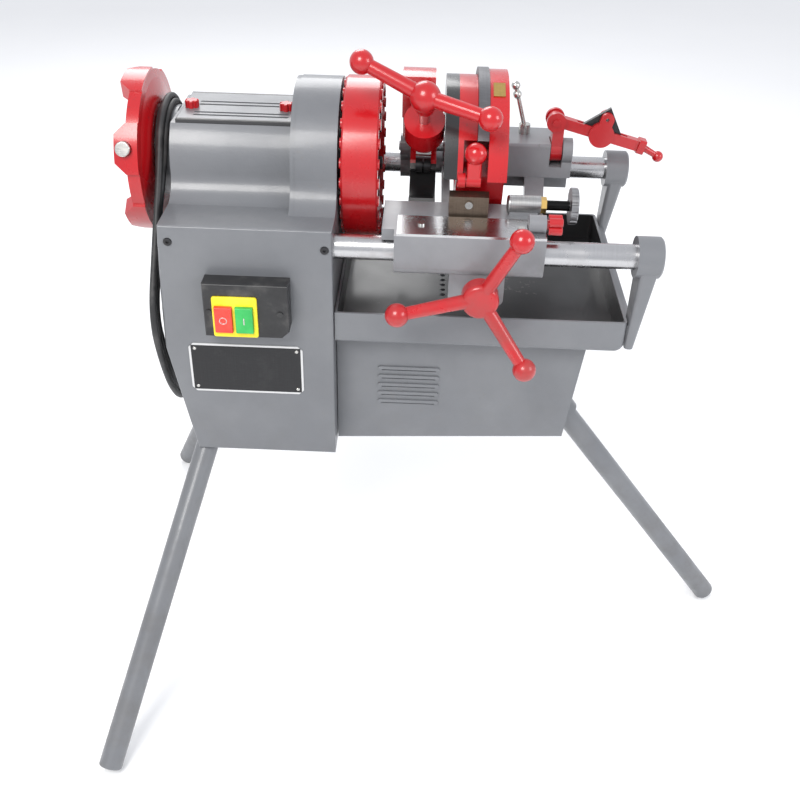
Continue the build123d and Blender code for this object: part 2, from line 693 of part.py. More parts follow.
with BuildPart() as tank_cabinet:
    with BuildSketch(Plane.XZ.offset(-tank_front_y)):
        add(tank_outline(0, tray_floor_z))
    extrude(amount=-(tank_back_y - tank_front_y))
    fillet(tank_cabinet.edges().filter_by(Axis.X).group_by(Axis.Y)[0].sort_by(Axis.Z)[0:1], radius=5)
    with BuildSketch(Plane.XZ.offset(-tank_front_y - sheet)):
        add(tank_outline(sheet, tray_floor_z + 1))
    extrude(amount=-(tank_back_y - tank_front_y - 2 * sheet), mode=Mode.SUBTRACT)
    # pressed louvres on the front
    for number in range(louvre_count):
        louvre_z = louvre_top_z - number * louvre_pitch
        with BuildSketch(Plane.XZ.offset(-tank_front_y)):
            with Locations((louvre_middle_x, louvre_z)):
                SlotOverall(louvre_length, 6)
        extrude(amount=2.2)
        with BuildSketch(Plane.XZ.offset(-tank_front_y - sheet - 1)):
            with Locations((louvre_middle_x, louvre_z - 2.6)):
                Rectangle(louvre_length - 10, 2.4)
        extrude(amount=sheet + 6, mode=Mode.SUBTRACT)
    add(leg_socket("right", bore=False))
    add(leg_socket("right", bore=True), mode=Mode.SUBTRACT)

pump_x = -70.0
pump_y = 120.0
pump_length = 64.0
with BuildPart() as oil_pump:
    floor_slope = (tank_floor_right_z - tank_floor_left_z) / (tank_right_floor_x - face_x - 1)
    pump_z = tank_floor_left_z + sheet + floor_slope * (pump_x + pump_length / 2 - face_x - 1) + 0.1
    with BuildSketch(Plane.XY.offset(pump_z)):
        with Locations((pump_x, pump_y)):
            RectangleRounded(pump_length, 54, 8)
    extrude(amount=48)
    with BuildSketch(Plane.XY.offset(pump_z + 48)):
        with Locations((pump_x, pump_y)):
            Circle(20)
    extrude(amount=30)
    fillet(oil_pump.edges().group_by(Axis.Z)[-1], radius=4)
    with BuildSketch(Plane.XY.offset(pump_z + 48)):
        with Locations((pump_x + 25, pump_y)):
            Circle(6)
    extrude(amount=44)

legs = []
for which in ("front", "back", "right"):
    with BuildPart() as leg:
        with BuildSketch(leg_axis(which)):
            Circle(leg_r)
        extrude(amount=leg_length(which) + socket_above - 6)
        fillet(leg.edges().sort_by(Axis.Z)[0], radius=foot_round)
        with BuildSketch(leg_axis(which).offset(4)):
            Circle(leg_bore_r)
        extrude(amount=leg_length(which) + socket_above, mode=Mode.SUBTRACT)
    name = "leg_right" if which == "right" else f"leg_{which}_left"
    leg.part.label = name
    legs.append(leg.part)
    print(name, "stands", round(leg_length(which)), "mm from foot to cabinet")

# ---- switch and nameplate --------------------------------------------------
switch_left_x = head_left_x + 51.0
switch_right_x = switch_left_x + 102.0
switch_low_z = 525.0
switch_high_z = 596.0
switch_front_y = -90.0
switch_depth = cover_front_y - switch_front_y
switch_middle = ((switch_left_x + switch_right_x) / 2, (switch_low_z + switch_high_z) / 2)
frame_middle = (switch_left_x + 38.0, 553.5)
frame_size = (54.0, 54.0)
button_size = (21.0, 34.0)
button_x = (frame_middle[0] - 13.5, frame_middle[0] + 11.5)
button_z = 551.5
button_proud = 5.0
with BuildPart() as switch_box:
    with BuildSketch(Plane.XZ.offset(-cover_front_y)):
        with BuildLine():
            Polyline(
                (switch_left_x, switch_high_z),
                (switch_right_x, switch_high_z),
                (switch_right_x, switch_low_z + 9),
                (switch_right_x - 9, switch_low_z),
                (switch_left_x, switch_low_z),
                close=True,
            )
        make_face()
    extrude(amount=switch_depth)
    fillet(switch_box.edges().group_by(Axis.Y)[0], radius=2)
    for x in button_x:
        with BuildSketch(Plane.XZ.offset(-switch_front_y)):
            with Locations((x, button_z)):
                Rectangle(button_size[0] + 2 * fit, button_size[1] + 2 * fit)
        extrude(amount=-16, mode=Mode.SUBTRACT)
    with BuildSketch(Plane.XZ.offset(-switch_front_y)):
        with Locations((switch_left_x + 6.5, switch_middle[1] - 2), (switch_right_x - 10, switch_middle[1] - 2)):
            Circle(3.6)
    extrude(amount=1.4)

with BuildPart() as switch_frame:
    with BuildSketch(Plane.XZ.offset(-switch_front_y)):
        with Locations(frame_middle):
            RectangleRounded(frame_size[0], frame_size[1], 3)
    extrude(amount=3)
    fillet(switch_frame.edges().group_by(Axis.Y)[0], radius=1.2)
    for x in button_x:
        with BuildSketch(Plane.XZ.offset(-switch_front_y)):
            with Locations((x, button_z)):
                Rectangle(button_size[0] + 2 * fit, button_size[1] + 2 * fit)
        extrude(amount=4, mode=Mode.SUBTRACT)

buttons = []
for name, x in (("stop_button", button_x[0]), ("start_button", button_x[1])):
    with BuildPart() as button:
        with BuildSketch(Plane.XZ.offset(-switch_front_y - 10)):
            with Locations((x, button_z)):
                Rectangle(*button_size)
        extrude(amount=10 + 3 + button_proud)
        fillet(button.edges().group_by(Axis.Y)[0], radius=1.5)
    button.part.label = name
    buttons.append(button.part)

plate_middle = (head_left_x + 93.5, 464.5)
with BuildPart() as nameplate:
    with BuildSketch(Plane.XZ.offset(-cover_front_y)):
        with Locations(plate_middle):
            Rectangle(143, 71)
    extrude(amount=1.2)
    chamfer(nameplate.edges().filter_by(Axis.Y), 6)

# ---- carriage --------------------------------------------------------------
tool_axis_y = rail_back_y - 35.0
tool_axis_z = rail_z + 37.0
tool_shaft_r = 7.0
lug_r = 15.0
sleeve_wall = 6.0
sleeve_left_x = -58.0
sleeve_right_x = 118.0
sleeve_front_y = rail_front_y - 30.0
sleeve_floor_z = rail_z - rail_r - sleeve_wall
plateau_z = rail_z + 30.0
plateau_back_y = rail_front_y + 71.0
block_left_x = 86.0
block_right_x = 174.0
block_front_y = rail_back_y - 50.0
block_back_y = rail_back_y + 22.0
block_floor_z = rail_z - rail_r - 7.0
block_top_z = rail_z + 49.0
slot_left_x = 143.5
slot_right_x = 160.5
bridge_floor_z = rail_z - 15.0
bridge_top_z = rail_z + 3.0
valve_y = rail_front_y + 45.0
valve_z = plateau_z + 12
knob_y = rail_front_y - 4.0
knob_z = plateau_z + 9.0
with BuildPart() as carriage:
    # front sleeve with its plateau
    with BuildSketch(Plane.YZ.offset(sleeve_left_x)):
        with BuildLine():
            Polyline(
                (sleeve_front_y, plateau_z),
                (plateau_back_y, plateau_z),
                (plateau_back_y, plateau_z - 12),
                (rail_front_y + rail_r + 9, plateau_z - 16),
                (rail_front_y + rail_r + 9, sleeve_floor_z),
                (sleeve_front_y, sleeve_floor_z),
                close=True,
            )
        make_face()
    extrude(amount=sleeve_right_x - sleeve_left_x)
    fillet(carriage.edges().filter_by(Axis.X).group_by(Axis.Z)[0], radius=11)
    # plateau runs on past the sleeve at the left
    with BuildSketch(Plane.XY.offset(plateau_z)):
        with Locations((sleeve_left_x - 5, (sleeve_front_y + 18 + plateau_back_y) / 2)):
            Rectangle(20, plateau_back_y - sleeve_front_y - 18)
    extrude(amount=-14)
    # apron for the pinion
    with BuildSketch(Plane.XZ.offset(-sleeve_front_y - 4)):
        with Locations((pinion_x - 4, pinion_z + 6)):
            RectangleRounded(66, 58, 8)
    extrude(amount=-46)
    # back block with the clevis for the reamer
    with BuildSketch(Plane.XY.offset(block_floor_z)):
        with Locations(((block_left_x + block_right_x) / 2, (block_front_y + block_back_y) / 2)):
            Rectangle(block_right_x - block_left_x, block_back_y - block_front_y)
    extrude(amount=block_top_z - block_floor_z)
    fillet(carriage.edges().filter_by(Axis.X).group_by(Axis.Z)[-1], radius=4)
    # the block is deep only round the rail, and its outer ear is rounded about the shaft
    with BuildSketch(Plane.XY.offset(block_floor_z - 1)):
        with Locations(((block_left_x + block_right_x) / 2, block_front_y + 10)):
            Rectangle(block_right_x - block_left_x + 2, 36)
    extrude(amount=bridge_top_z - block_floor_z + 1, mode=Mode.SUBTRACT)
    with BuildSketch(Plane.YZ.offset(slot_right_x)):
        with Locations(((block_front_y + block_back_y) / 2, tool_axis_z + 6)):
            Rectangle(block_back_y - block_front_y + 2, 36)
    extrude(amount=block_right_x - slot_right_x + 1, mode=Mode.SUBTRACT)
    add(yz_disc(slot_right_x, lug_r + 2, block_right_x - slot_right_x, 0, tool_axis_y, tool_axis_z))
    # back beam that rests on the rail, a ring at its left end and lugs for the shaft
    with BuildSketch(Plane.YZ.offset(sleeve_left_x - 2)):
        with Locations((rail_back_y, rail_z)):
            Circle(rail_r + 6)
        with Locations((rail_back_y, rail_z - 15)):
            Rectangle(60, 30, mode=Mode.SUBTRACT)
    extrude(amount=block_left_x - sleeve_left_x + 4)
    add(yz_disc(sleeve_left_x - 2, rail_r + 6, 16, 0, rail_back_y, rail_z))
    for x, length in ((sleeve_left_x - 2, 14), (-2, 11), (74, 14)):
        with BuildSketch(Plane.YZ.offset(x)):
            with Locations((tool_axis_y, tool_axis_z)):
                Circle(lug_r)
            with BuildLine():
                Polyline(
                    (tool_axis_y - 10, tool_axis_z - 11),
                    (tool_axis_y + 8, tool_axis_z + 12),
                    (rail_back_y + 8, rail_z + rail_r + 3),
                    (rail_back_y - 8, rail_z + 2),
                    close=True,
                )
            make_face()
        extrude(amount=length)
    # two bridges between front and back
    for corners in (
        ((98, -20), (118, -20), (142, 222), (114, 222)),
        ((-2, -20), (9, -20), (9, 235), (-2, 235)),
    ):
        with BuildSketch(Plane.XY.offset(bridge_floor_z)):
            with BuildLine():
                Polyline(*corners, close=True)
            make_face()
        extrude(amount=bridge_top_z - bridge_floor_z)
    # seat for the oil valve
    with BuildSketch(Plane.XY.offset(plateau_z)):
        with Locations((95, valve_y)):
            Rectangle(34, 18)
    extrude(amount=6)
    add(yz_disc(sleeve_right_x - 20, 11, 20, 0, knob_y, knob_z))
    # bores and slots
    for y in (rail_front_y, rail_back_y):
        add(yz_disc(sleeve_left_x - 30, rail_r + running_fit, 300, 0, y, rail_z), mode=Mode.SUBTRACT)
    add(yz_disc(sleeve_left_x - 5, tool_shaft_r + running_fit, block_right_x - sleeve_left_x + 1, 0,
                tool_axis_y, tool_axis_z), mode=Mode.SUBTRACT)
    with BuildSketch(Plane.YZ.offset(slot_left_x)):
        with Locations((tool_axis_y - 3, tool_axis_z + 8)):
            Rectangle(44, 54)
    extrude(amount=slot_right_x - slot_left_x, mode=Mode.SUBTRACT)
    with BuildSketch(Plane.XZ.offset(-sleeve_front_y + 10)):
        with Locations((pinion_x, pinion_z)):
            Circle(9 + running_fit)
    extrude(amount=-70, mode=Mode.SUBTRACT)
    with BuildSketch(Plane.XZ.offset(-rail_front_y - rack_half_width - 1)):
        with Locations((pinion_x, pinion_z)):
            Circle(pinion_pitch_r + 3)
    extrude(amount=2 * rack_half_width + 2, mode=Mode.SUBTRACT)
    add(yz_disc(70, 11 + running_fit, 60, 0, valve_y, valve_z), mode=Mode.SUBTRACT)
    add(yz_disc(sleeve_right_x - 18, 4 + running_fit, 20, 0, knob_y, knob_z), mode=Mode.SUBTRACT)

guard_thickness = 3.0
guard_left_x = sleeve_left_x + 3.0
guard_back_y = rail_front_y + 22.0
guard_screw_places = ((-27.0, sleeve_front_y + 28.0), (90.0, sleeve_front_y + 24.0))
with BuildPart() as guard_strip:
    with BuildSketch(Plane.XY.offset(plateau_z)):
        with Locations(((guard_left_x + sleeve_right_x) / 2, (sleeve_front_y + guard_back_y) / 2)):
            Rectangle(sleeve_right_x - guard_left_x, guard_back_y - sleeve_front_y)
        # notch round the flow knob's boss
        with Locations((sleeve_right_x, knob_y)):
            Rectangle(42, 23, mode=Mode.SUBTRACT)
        with Locations(*guard_screw_places):
            Circle(2.5, mode=Mode.SUBTRACT)
    extrude(amount=guard_thickness)

template_left_x = 5.0
template_width = 47.0
template_front_y = rail_front_y + 28.0
template_depth = 26.0
template_height = 29.0
template_screw = (template_left_x + template_width / 2, plateau_z + 16)
with BuildPart() as template_block:
    with BuildSketch(Plane.YZ.offset(template_left_x)):
        with BuildLine():
            Polyline(
                (template_front_y, plateau_z),
                (template_front_y + 2, plateau_z + template_height - 4),
                (template_front_y + 12, plateau_z + template_height),
                (template_front_y + template_depth, plateau_z + template_height - 7),
                (template_front_y + template_depth, plateau_z),
                close=True,
            )
        make_face()
    extrude(amount=template_width)
    with BuildSketch(Plane.XZ.offset(-template_front_y + 3)):
        with Locations(template_screw):
            Circle(3)
    extrude(amount=-14, mode=Mode.SUBTRACT)

with BuildPart() as carriage_screws:
    with BuildSketch(Plane.XY.offset(plateau_z)):
        with Locations(*guard_screw_places):
            Circle(2.5)
    extrude(amount=guard_thickness)
    with BuildSketch(Plane.XY.offset(plateau_z + guard_thickness)):
        with Locations(*guard_screw_places):
            Circle(4.6)
    extrude(amount=2.2)
    with BuildSketch(Plane.XZ.offset(-template_front_y - 8)):
        with Locations(template_screw):
            Circle(3)
    extrude(amount=8.5)
    with BuildSketch(Plane.XZ.offset(-template_front_y - 0.5)):
        with Locations(template_screw):
            Circle(4.6)
    extrude(amount=2.4)

shaft_front_y = -102.0
with BuildPart() as pinion_shaft:
    with BuildSketch(Plane.XZ.offset(-shaft_front_y)):
        with Locations((pinion_x, pinion_z)):
            Circle(9)
    extrude(amount=-(rail_front_y + 18 - shaft_front_y))
    with BuildSketch(Plane.XZ.offset(-rail_front_y - rack_half_width + 0.5)):
        with Locations((pinion_x, pinion_z)):
            Circle(pinion_pitch_r - 2.4)
            with PolarLocations(0, pinion_teeth, start_angle=90):
                Polygon(
                    (pinion_pitch_r - 3.4, -2.8),
                    (pinion_pitch_r + 1.4, -1.0),
                    (pinion_pitch_r + 1.4, 1.0),
                    (pinion_pitch_r - 3.4, 2.8),
                    align=None,
                )
    extrude(amount=2 * rack_half_width - 1)

handle_ball_r = 14.0
handle_reach = 96.7
handle_angles = (186.0, 66.0, -54.0)
hub_outer_r = 22.0
hub_back_y = -76.0
hub_front_y = -104.0
balls_y = -120.0


def tapered_rod(start, end, start_r, end_r, ball_r=0.0):
    """Round rod between two points, with a ball on its end if ball_r is given."""
    run = Vector(*end) - Vector(*start)
    with BuildPart(Plane(origin=start, z_dir=(run.X, run.Y, run.Z)), mode=Mode.PRIVATE) as rod:
        Cone(start_r, end_r, run.length, align=(Align.CENTER, Align.CENTER, Align.MIN))
        if ball_r > 0:
            with Locations((0, 0, run.length)):
                Sphere(ball_r)
    return rod.part


with BuildPart() as handwheel:
    with BuildSketch(Plane.XZ.offset(-hub_back_y)):
        with Locations((pinion_x, pinion_z)):
            Circle(hub_outer_r)
    extrude(amount=hub_back_y - hub_front_y)
    fillet(handwheel.edges().group_by(Axis.Y)[0], radius=6)
    chamfer(handwheel.edges().group_by(Axis.Y)[-1], length=6)
    for angle in handle_angles:
        ball = (
            pinion_x + handle_reach * cos(radians(angle)),
            balls_y,
            pinion_z + handle_reach * sin(radians(angle)),
        )
        add(tapered_rod((pinion_x, hub_front_y + 13, pinion_z), ball, 9, 7.5, handle_ball_r))
    with BuildSketch(Plane.XZ.offset(-hub_back_y)):
        with Locations((pinion_x, pinion_z)):
            Circle(9)
    extrude(amount=hub_back_y - shaft_front_y, mode=Mode.SUBTRACT)

with BuildPart() as tool_pivot_shaft:
    add(yz_disc(sleeve_left_x - 4, tool_shaft_r, block_right_x - sleeve_left_x, 0, tool_axis_y, tool_axis_z))

# ---- pipe cutter -----------------------------------------------------------
cutter_x = -28.0
cutter_lift = 50.0      # the screw leans back this far above level
to_screw = Vector(0, -cos(radians(cutter_lift)), sin(radians(cutter_lift)))


def on_screw(distance):
    """Plane square to the cutter's screw at this distance from the pipe's axis."""
    return Plane(
        origin=(cutter_x, spindle_y + distance * to_screw.Y, spindle_z + distance * to_screw.Z),
        x_dir=(1, 0, 0),
        z_dir=(0, to_screw.Y, to_screw.Z),
    )


frame_inner_r = 56.0
frame_outer_r = 82.0
frame_back_r = 110.0
frame_width = 34.0
housing_outer_r = 24.5
slide_r = 13.0
slide_low = 42.0
slide_high = 78.0
housing_low = 60.0
housing_high = 91.0
screw_shaft_r = 6.5
roller_r = 9.0
roller_reach = spindle_bore_r + roller_r
roller_angle = -34.0
cutter_wheel_r = 15.0
cutter_wheel_at = 47.0
roller_y = spindle_y + roller_reach * cos(radians(roller_angle))
roller_z = spindle_z + roller_reach * sin(radians(roller_angle))
with BuildPart() as cutter_frame:
    with BuildSketch(Plane.YZ.offset(cutter_x - frame_width / 2)):
        with BuildLine():
            start = -4.0
            end = 180 - cutter_lift
            CenterArc((spindle_y, spindle_z), frame_outer_r, start, end - start)
            CenterArc((spindle_y, spindle_z), frame_inner_r, start, end - start)
            for angle in (start, end):
                Line(
                    (spindle_y + frame_inner_r * cos(radians(angle)), spindle_z + frame_inner_r * sin(radians(angle))),
                    (spindle_y + frame_outer_r * cos(radians(angle)), spindle_z + frame_outer_r * sin(radians(angle))),
                )
        make_face()
        with Locations((tool_axis_y, tool_axis_z)):
            Circle(lug_r)
        with BuildLine():
            Polyline(
                (tool_axis_y - 4, tool_axis_z + 14),
                (spindle_y + 70, spindle_z + 32),
                (spindle_y + 58, spindle_z - 4),
                (tool_axis_y - 6, tool_axis_z - 13),
                close=True,
            )
        make_face()
    extrude(amount=frame_width)
    # heavy back of the frame
    with BuildSketch(Plane.YZ.offset(cutter_x - frame_width / 2 - 11)):
        add(sector(frame_inner_r, frame_back_r, 8, 100))
    extrude(amount=frame_width + 6)
    # lower jaw under the pipe, and the arm that carries the rollers
    with BuildSketch(Plane.YZ.offset(cutter_x - frame_width / 2)):
        add(sector(frame_inner_r - 6, frame_inner_r + 2, -120, -28))
    extrude(amount=frame_width)
    for x in (cutter_x - frame_width / 2, cutter_x + frame_width / 2 - 7):
        with BuildSketch(Plane.YZ.offset(x)):
            with BuildLine():
                Polyline(
                    (tool_axis_y - 2, tool_axis_z + 12),
                    (spindle_y + 62, spindle_z - 2),
                    (roller_y - 2, roller_z + 8),
                    (roller_y - 8, roller_z - 2),
                    (roller_y + 6, roller_z - 10),
                    (tool_axis_y - 4, tool_axis_z - 14),
                    close=True,
                )
            make_face()
        extrude(amount=7)
    with BuildSketch(on_screw(housing_low)):
        Circle(housing_outer_r)
    extrude(amount=housing_high - housing_low)
    with BuildSketch(on_screw(housing_low - 12)):
        Circle(housing_outer_r - 5)
    extrude(amount=14)
    with BuildSketch(on_screw(slide_low - 14)):
        Rectangle(9, 2 * cutter_wheel_r + 4)
    extrude(amount=cutter_wheel_at + cutter_wheel_r + 2 - slide_low + 14, mode=Mode.SUBTRACT)
    with BuildSketch(on_screw(slide_low - 4)):
        Circle(slide_r + running_fit)
    extrude(amount=housing_high - 7 - slide_low + 4, mode=Mode.SUBTRACT)
    with BuildSketch(on_screw(slide_low)):
        Circle(screw_shaft_r + running_fit)
    extrude(amount=80, mode=Mode.SUBTRACT)
    add(yz_disc(cutter_x - frame_width, tool_shaft_r + running_fit, 2 * frame_width, 0, tool_axis_y, tool_axis_z),
        mode=Mode.SUBTRACT)
    add(yz_disc(cutter_x - frame_width, 4 + running_fit, 2 * frame_width, 0, roller_y, roller_z), mode=Mode.SUBTRACT)

with BuildPart() as cutter_rollers:
    add(yz_disc(cutter_x - frame_width / 2, 4, frame_width, 0, roller_y, roller_z))
    for x in (cutter_x - frame_width / 2 + 7 + fit, cutter_x + 1):
        add(yz_disc(x, roller_r, frame_width / 2 - 8 - fit, 0, roller_y, roller_z))

with BuildPart() as cutter_slide:
    with BuildSketch(on_screw(slide_low)):
        Circle(slide_r)
    extrude(amount=slide_high - slide_low)
    with BuildSketch(on_screw(slide_low - 1)):
        Rectangle(5 + 2 * fit, 3 * slide_r)
    extrude(amount=cutter_wheel_at + cutter_wheel_r + 2 - slide_low, mode=Mode.SUBTRACT)
    with Locations(on_screw(cutter_wheel_at)):
        Cylinder(radius=3 + running_fit, height=60, rotation=(0, 90, 0), mode=Mode.SUBTRACT)

with BuildPart() as cutter_wheel:
    with Locations(on_screw(cutter_wheel_at)):
        Cylinder(radius=3, height=24, rotation=(0, 90, 0))
        Cylinder(radius=cutter_wheel_r - 4, height=5, rotation=(0, 90, 0))
        Cone(bottom_radius=cutter_wheel_r - 4, top_radius=cutter_wheel_r, height=2, rotation=(0, 90, 0),
             align=(Align.CENTER, Align.CENTER, Align.MAX))
        Cone(bottom_radius=cutter_wheel_r, top_radius=cutter_wheel_r - 4, height=2, rotation=(0, 90, 0),
             align=(Align.CENTER, Align.CENTER, Align.MIN))

hub_at = 139.8
tee_reach = 81.2
tee_turn = -24.5
tee_rise = 13.7
hub_r = 18.0
with BuildPart() as cutter_handle:
    with BuildSketch(on_screw(slide_high + fit)):
        Circle(screw_shaft_r)
    extrude(amount=hub_at - slide_high)
    hub_plane = on_screw(hub_at)
    with Locations(hub_plane):
        Sphere(hub_r)
    with BuildSketch(on_screw(hub_at - 24)):
        Circle(11)
    extrude(amount=20)
    for side in (1, -1):
        ball = hub_plane.from_local_coords(
            Vector(side * tee_reach * cos(radians(tee_turn)), side * tee_reach * sin(radians(tee_turn)), tee_rise)
        )
        add(tapered_rod(tuple(hub_plane.origin), tuple(ball), 9.5, 8, handle_ball_r))

# ---- die head --------------------------------------------------------------
die_plate_r = 104.0
die_face_r = 111.0
die_core_r = 70.0
die_throat_r = spindle_bore_r + 3.0
die_left_x = -3.0
die_plate_x = 13.0
cam_left_x = 35.0
cam_right_x = 48.0
die_right_x = 71.0
cam_outer_r = 113.0
die_front_angle = 172.0
die_back_angle = 15.0
lever_x = 32.5
lever_width = 17.0
lever_hub_r = 8.0
lever_bar_length = 23.0
lever_pin_y = spindle_y - 100.0
lever_pin_z = spindle_z + 13.0
lever_ball = (33.4, lever_pin_y, lever_pin_z + 32.8)
lever_ball_r = 13.0
die_angles = (45, 135, 225, 315)
die_width = 16.0


with BuildPart() as die_head_body:
    with BuildSketch(Plane.YZ.offset(die_left_x)):
        add(sector(60, die_plate_r, die_back_angle, die_front_angle))
    extrude(amount=die_plate_x - die_left_x)
    with BuildSketch(Plane.YZ.offset(die_plate_x)):
        add(sector(60, die_plate_r, die_back_angle, 176))
    extrude(amount=cam_left_x - die_plate_x)
    add(yz_disc(die_plate_x, die_core_r, die_right_x - die_plate_x))
    with BuildSketch(Plane.YZ.offset(cam_right_x + fit)):
        add(sector(60, die_face_r, die_back_angle, die_front_angle))
    extrude(amount=die_right_x - cam_right_x - fit)
    # hinge lug reaching back to the shaft
    with BuildSketch(Plane.YZ.offset(die_plate_x + 1)):
        with Locations((tool_axis_y, tool_axis_z)):
            Circle(lug_r)
        with BuildLine():
            Polyline(
                (tool_axis_y + 6, tool_axis_z + 13),
                (spindle_y + 78, spindle_z + 44),
                (spindle_y + 60, spindle_z + 8),
                (spindle_y + 56, spindle_z - 22),
                (tool_axis_y - 6, tool_axis_z - 13),
                close=True,
            )
        make_face()
    extrude(amount=die_right_x - die_plate_x - 1)
    # groove for the cam ring, lever slot, throat, dies and shaft bore
    with BuildSketch(Plane.YZ.offset(cam_left_x - fit)):
        add(sector(die_core_r, cam_outer_r + 8, 2, 174))
    extrude(amount=cam_right_x - cam_left_x + 2 * fit, mode=Mode.SUBTRACT)
    with BuildSketch(Plane.YZ.offset(lever_ball[0] - lever_ball_r - 1)):
        with Locations((lever_pin_y + 2, lever_pin_z + 9)):
            Rectangle(46, 70)
    extrude(amount=2 * lever_ball_r + 2, mode=Mode.SUBTRACT)
    add(yz_disc(die_left_x - 1, die_throat_r, die_right_x - die_left_x + 2), mode=Mode.SUBTRACT)
    with BuildSketch(Plane.YZ.offset(50)):
        with Locations((spindle_y, spindle_z)):
            for angle in die_angles:
                with PolarLocations(0, 1, start_angle=angle):
                    with Locations((die_throat_r + 14, 0)):
                        Rectangle(34, die_width + 2 * running_fit)
    extrude(amount=die_right_x - 49, mode=Mode.SUBTRACT)
    add(yz_disc(die_left_x - 20, tool_shaft_r + running_fit, 120, 0, tool_axis_y, tool_axis_z), mode=Mode.SUBTRACT)
    # arm that carries the lever's pin
    add(yz_disc(die_plate_x + 1, 9, lever_x - lever_width / 2 - 1.3 - die_plate_x - 1, 0, lever_pin_y, lever_pin_z))
    add(yz_disc(die_plate_x, 4 + running_fit, 40, 0, lever_pin_y, lever_pin_z), mode=Mode.SUBTRACT)

with BuildPart() as cam_ring:
    with BuildSketch(Plane.YZ.offset(cam_left_x)):
        add(sector(die_core_r + fit, cam_outer_r, 22, 148))
    extrude(amount=cam_right_x - cam_left_x)

with BuildPart() as thread_dies:
    with BuildSketch(Plane.YZ.offset(50)):
        with Locations((spindle_y, spindle_z)):
            for angle in die_angles:
                with PolarLocations(0, 1, start_angle=angle):
                    Polygon(
                        (die_throat_r - 1.5, -2.5),
                        (die_throat_r + 5, -die_width / 2),
                        (die_throat_r + 30.5, -die_width / 2),
                        (die_throat_r + 30.5, die_width / 2),
                        (die_throat_r + 5, die_width / 2),
                        (die_throat_r - 1.5, 2.5),
                        align=None,
                    )
    extrude(amount=die_right_x - 50)

with BuildPart() as die_lever:
    add(yz_disc(lever_x - lever_width / 2, lever_hub_r, lever_width, 0, lever_pin_y, lever_pin_z))
    with BuildSketch(Plane.XY.offset(lever_pin_z)):
        with Locations((lever_x, lever_pin_y)):
            RectangleRounded(lever_width, 2 * lever_hub_r - 2, 3)
    extrude(amount=lever_bar_length)
    with Locations(lever_ball):
        Sphere(lever_ball_r)
    add(yz_disc(die_plate_x + 1, 4, lever_x - die_plate_x, 0, lever_pin_y, lever_pin_z))

# ---- reamer ----------------------------------------------------------------
link_left_x = slot_left_x + 1
link_width = slot_right_x - slot_left_x - 2
link_pin = (148.0, tool_axis_y, tool_axis_z + 42.0)
arm_droop = 15.0
arm_along = Vector(cos(radians(arm_droop)), 0, -sin(radians(arm_droop)))
pin_r = 5.0
arm_half_width = 7.0


def on_arm(distance):
    """Plane square to the reamer's arm at this distance from its pin."""
    place = Vector(*link_pin) + distance * arm_along
    return Plane(origin=place, x_dir=(0, 1, 0), z_dir=arm_along)


with BuildPart() as reamer_link:
    with BuildSketch(Plane.YZ.offset(link_left_x)):
        with Locations((tool_axis_y, tool_axis_z)):
            Circle(lug_r - 1)
        with Locations((tool_axis_y, (tool_axis_z + link_pin[2]) / 2)):
            Rectangle(22, link_pin[2] - tool_axis_z)
    extrude(amount=link_width)
    with BuildSketch(Plane.XZ.offset(-link_pin[1] - 13)):
        with Locations((link_pin[0], link_pin[2])):
            Circle(13)
    extrude(amount=26)
    with BuildSketch(Plane.XZ.offset(-link_pin[1] - arm_half_width - fit)):
        with Locations((link_pin[0], link_pin[2] + 4)):
            Rectangle(80, 34 + 8)
    extrude(amount=2 * (arm_half_width + fit), mode=Mode.SUBTRACT)
    with BuildSketch(Plane.XZ.offset(-link_pin[1] - 20)):
        with Locations((link_pin[0], link_pin[2])):
            Circle(pin_r)
    extrude(amount=40, mode=Mode.SUBTRACT)
    add(yz_disc(link_left_x - 1, tool_shaft_r + running_fit, link_width + 2, 0, tool_axis_y, tool_axis_z),
        mode=Mode.SUBTRACT)
    # pin, riveted over at both ends
    with BuildSketch(Plane.XZ.offset(-link_pin[1] - 15)):
        with Locations((link_pin[0], link_pin[2])):
            Circle(pin_r)
    extrude(amount=30)

blade_at = 64.5
blade_lug_r = 9.0
blade_lug_rise = 22.0
blade_half = 33.0
blade_height = 37.0
blade_thickness = 6.0
grip_block = 19.0
grip_from = 118.0
knob_at = (292.0, tool_axis_y, tool_axis_z - 4.0)
knob_r = 7.5


def across_arm(offset):
    """Plane along the arm through the blade's middle, this far behind the arm's middle."""
    middle = on_arm(blade_at).origin + Vector(0, offset, 0)
    return Plane(origin=middle, x_dir=arm_along, z_dir=(0, -1, 0))


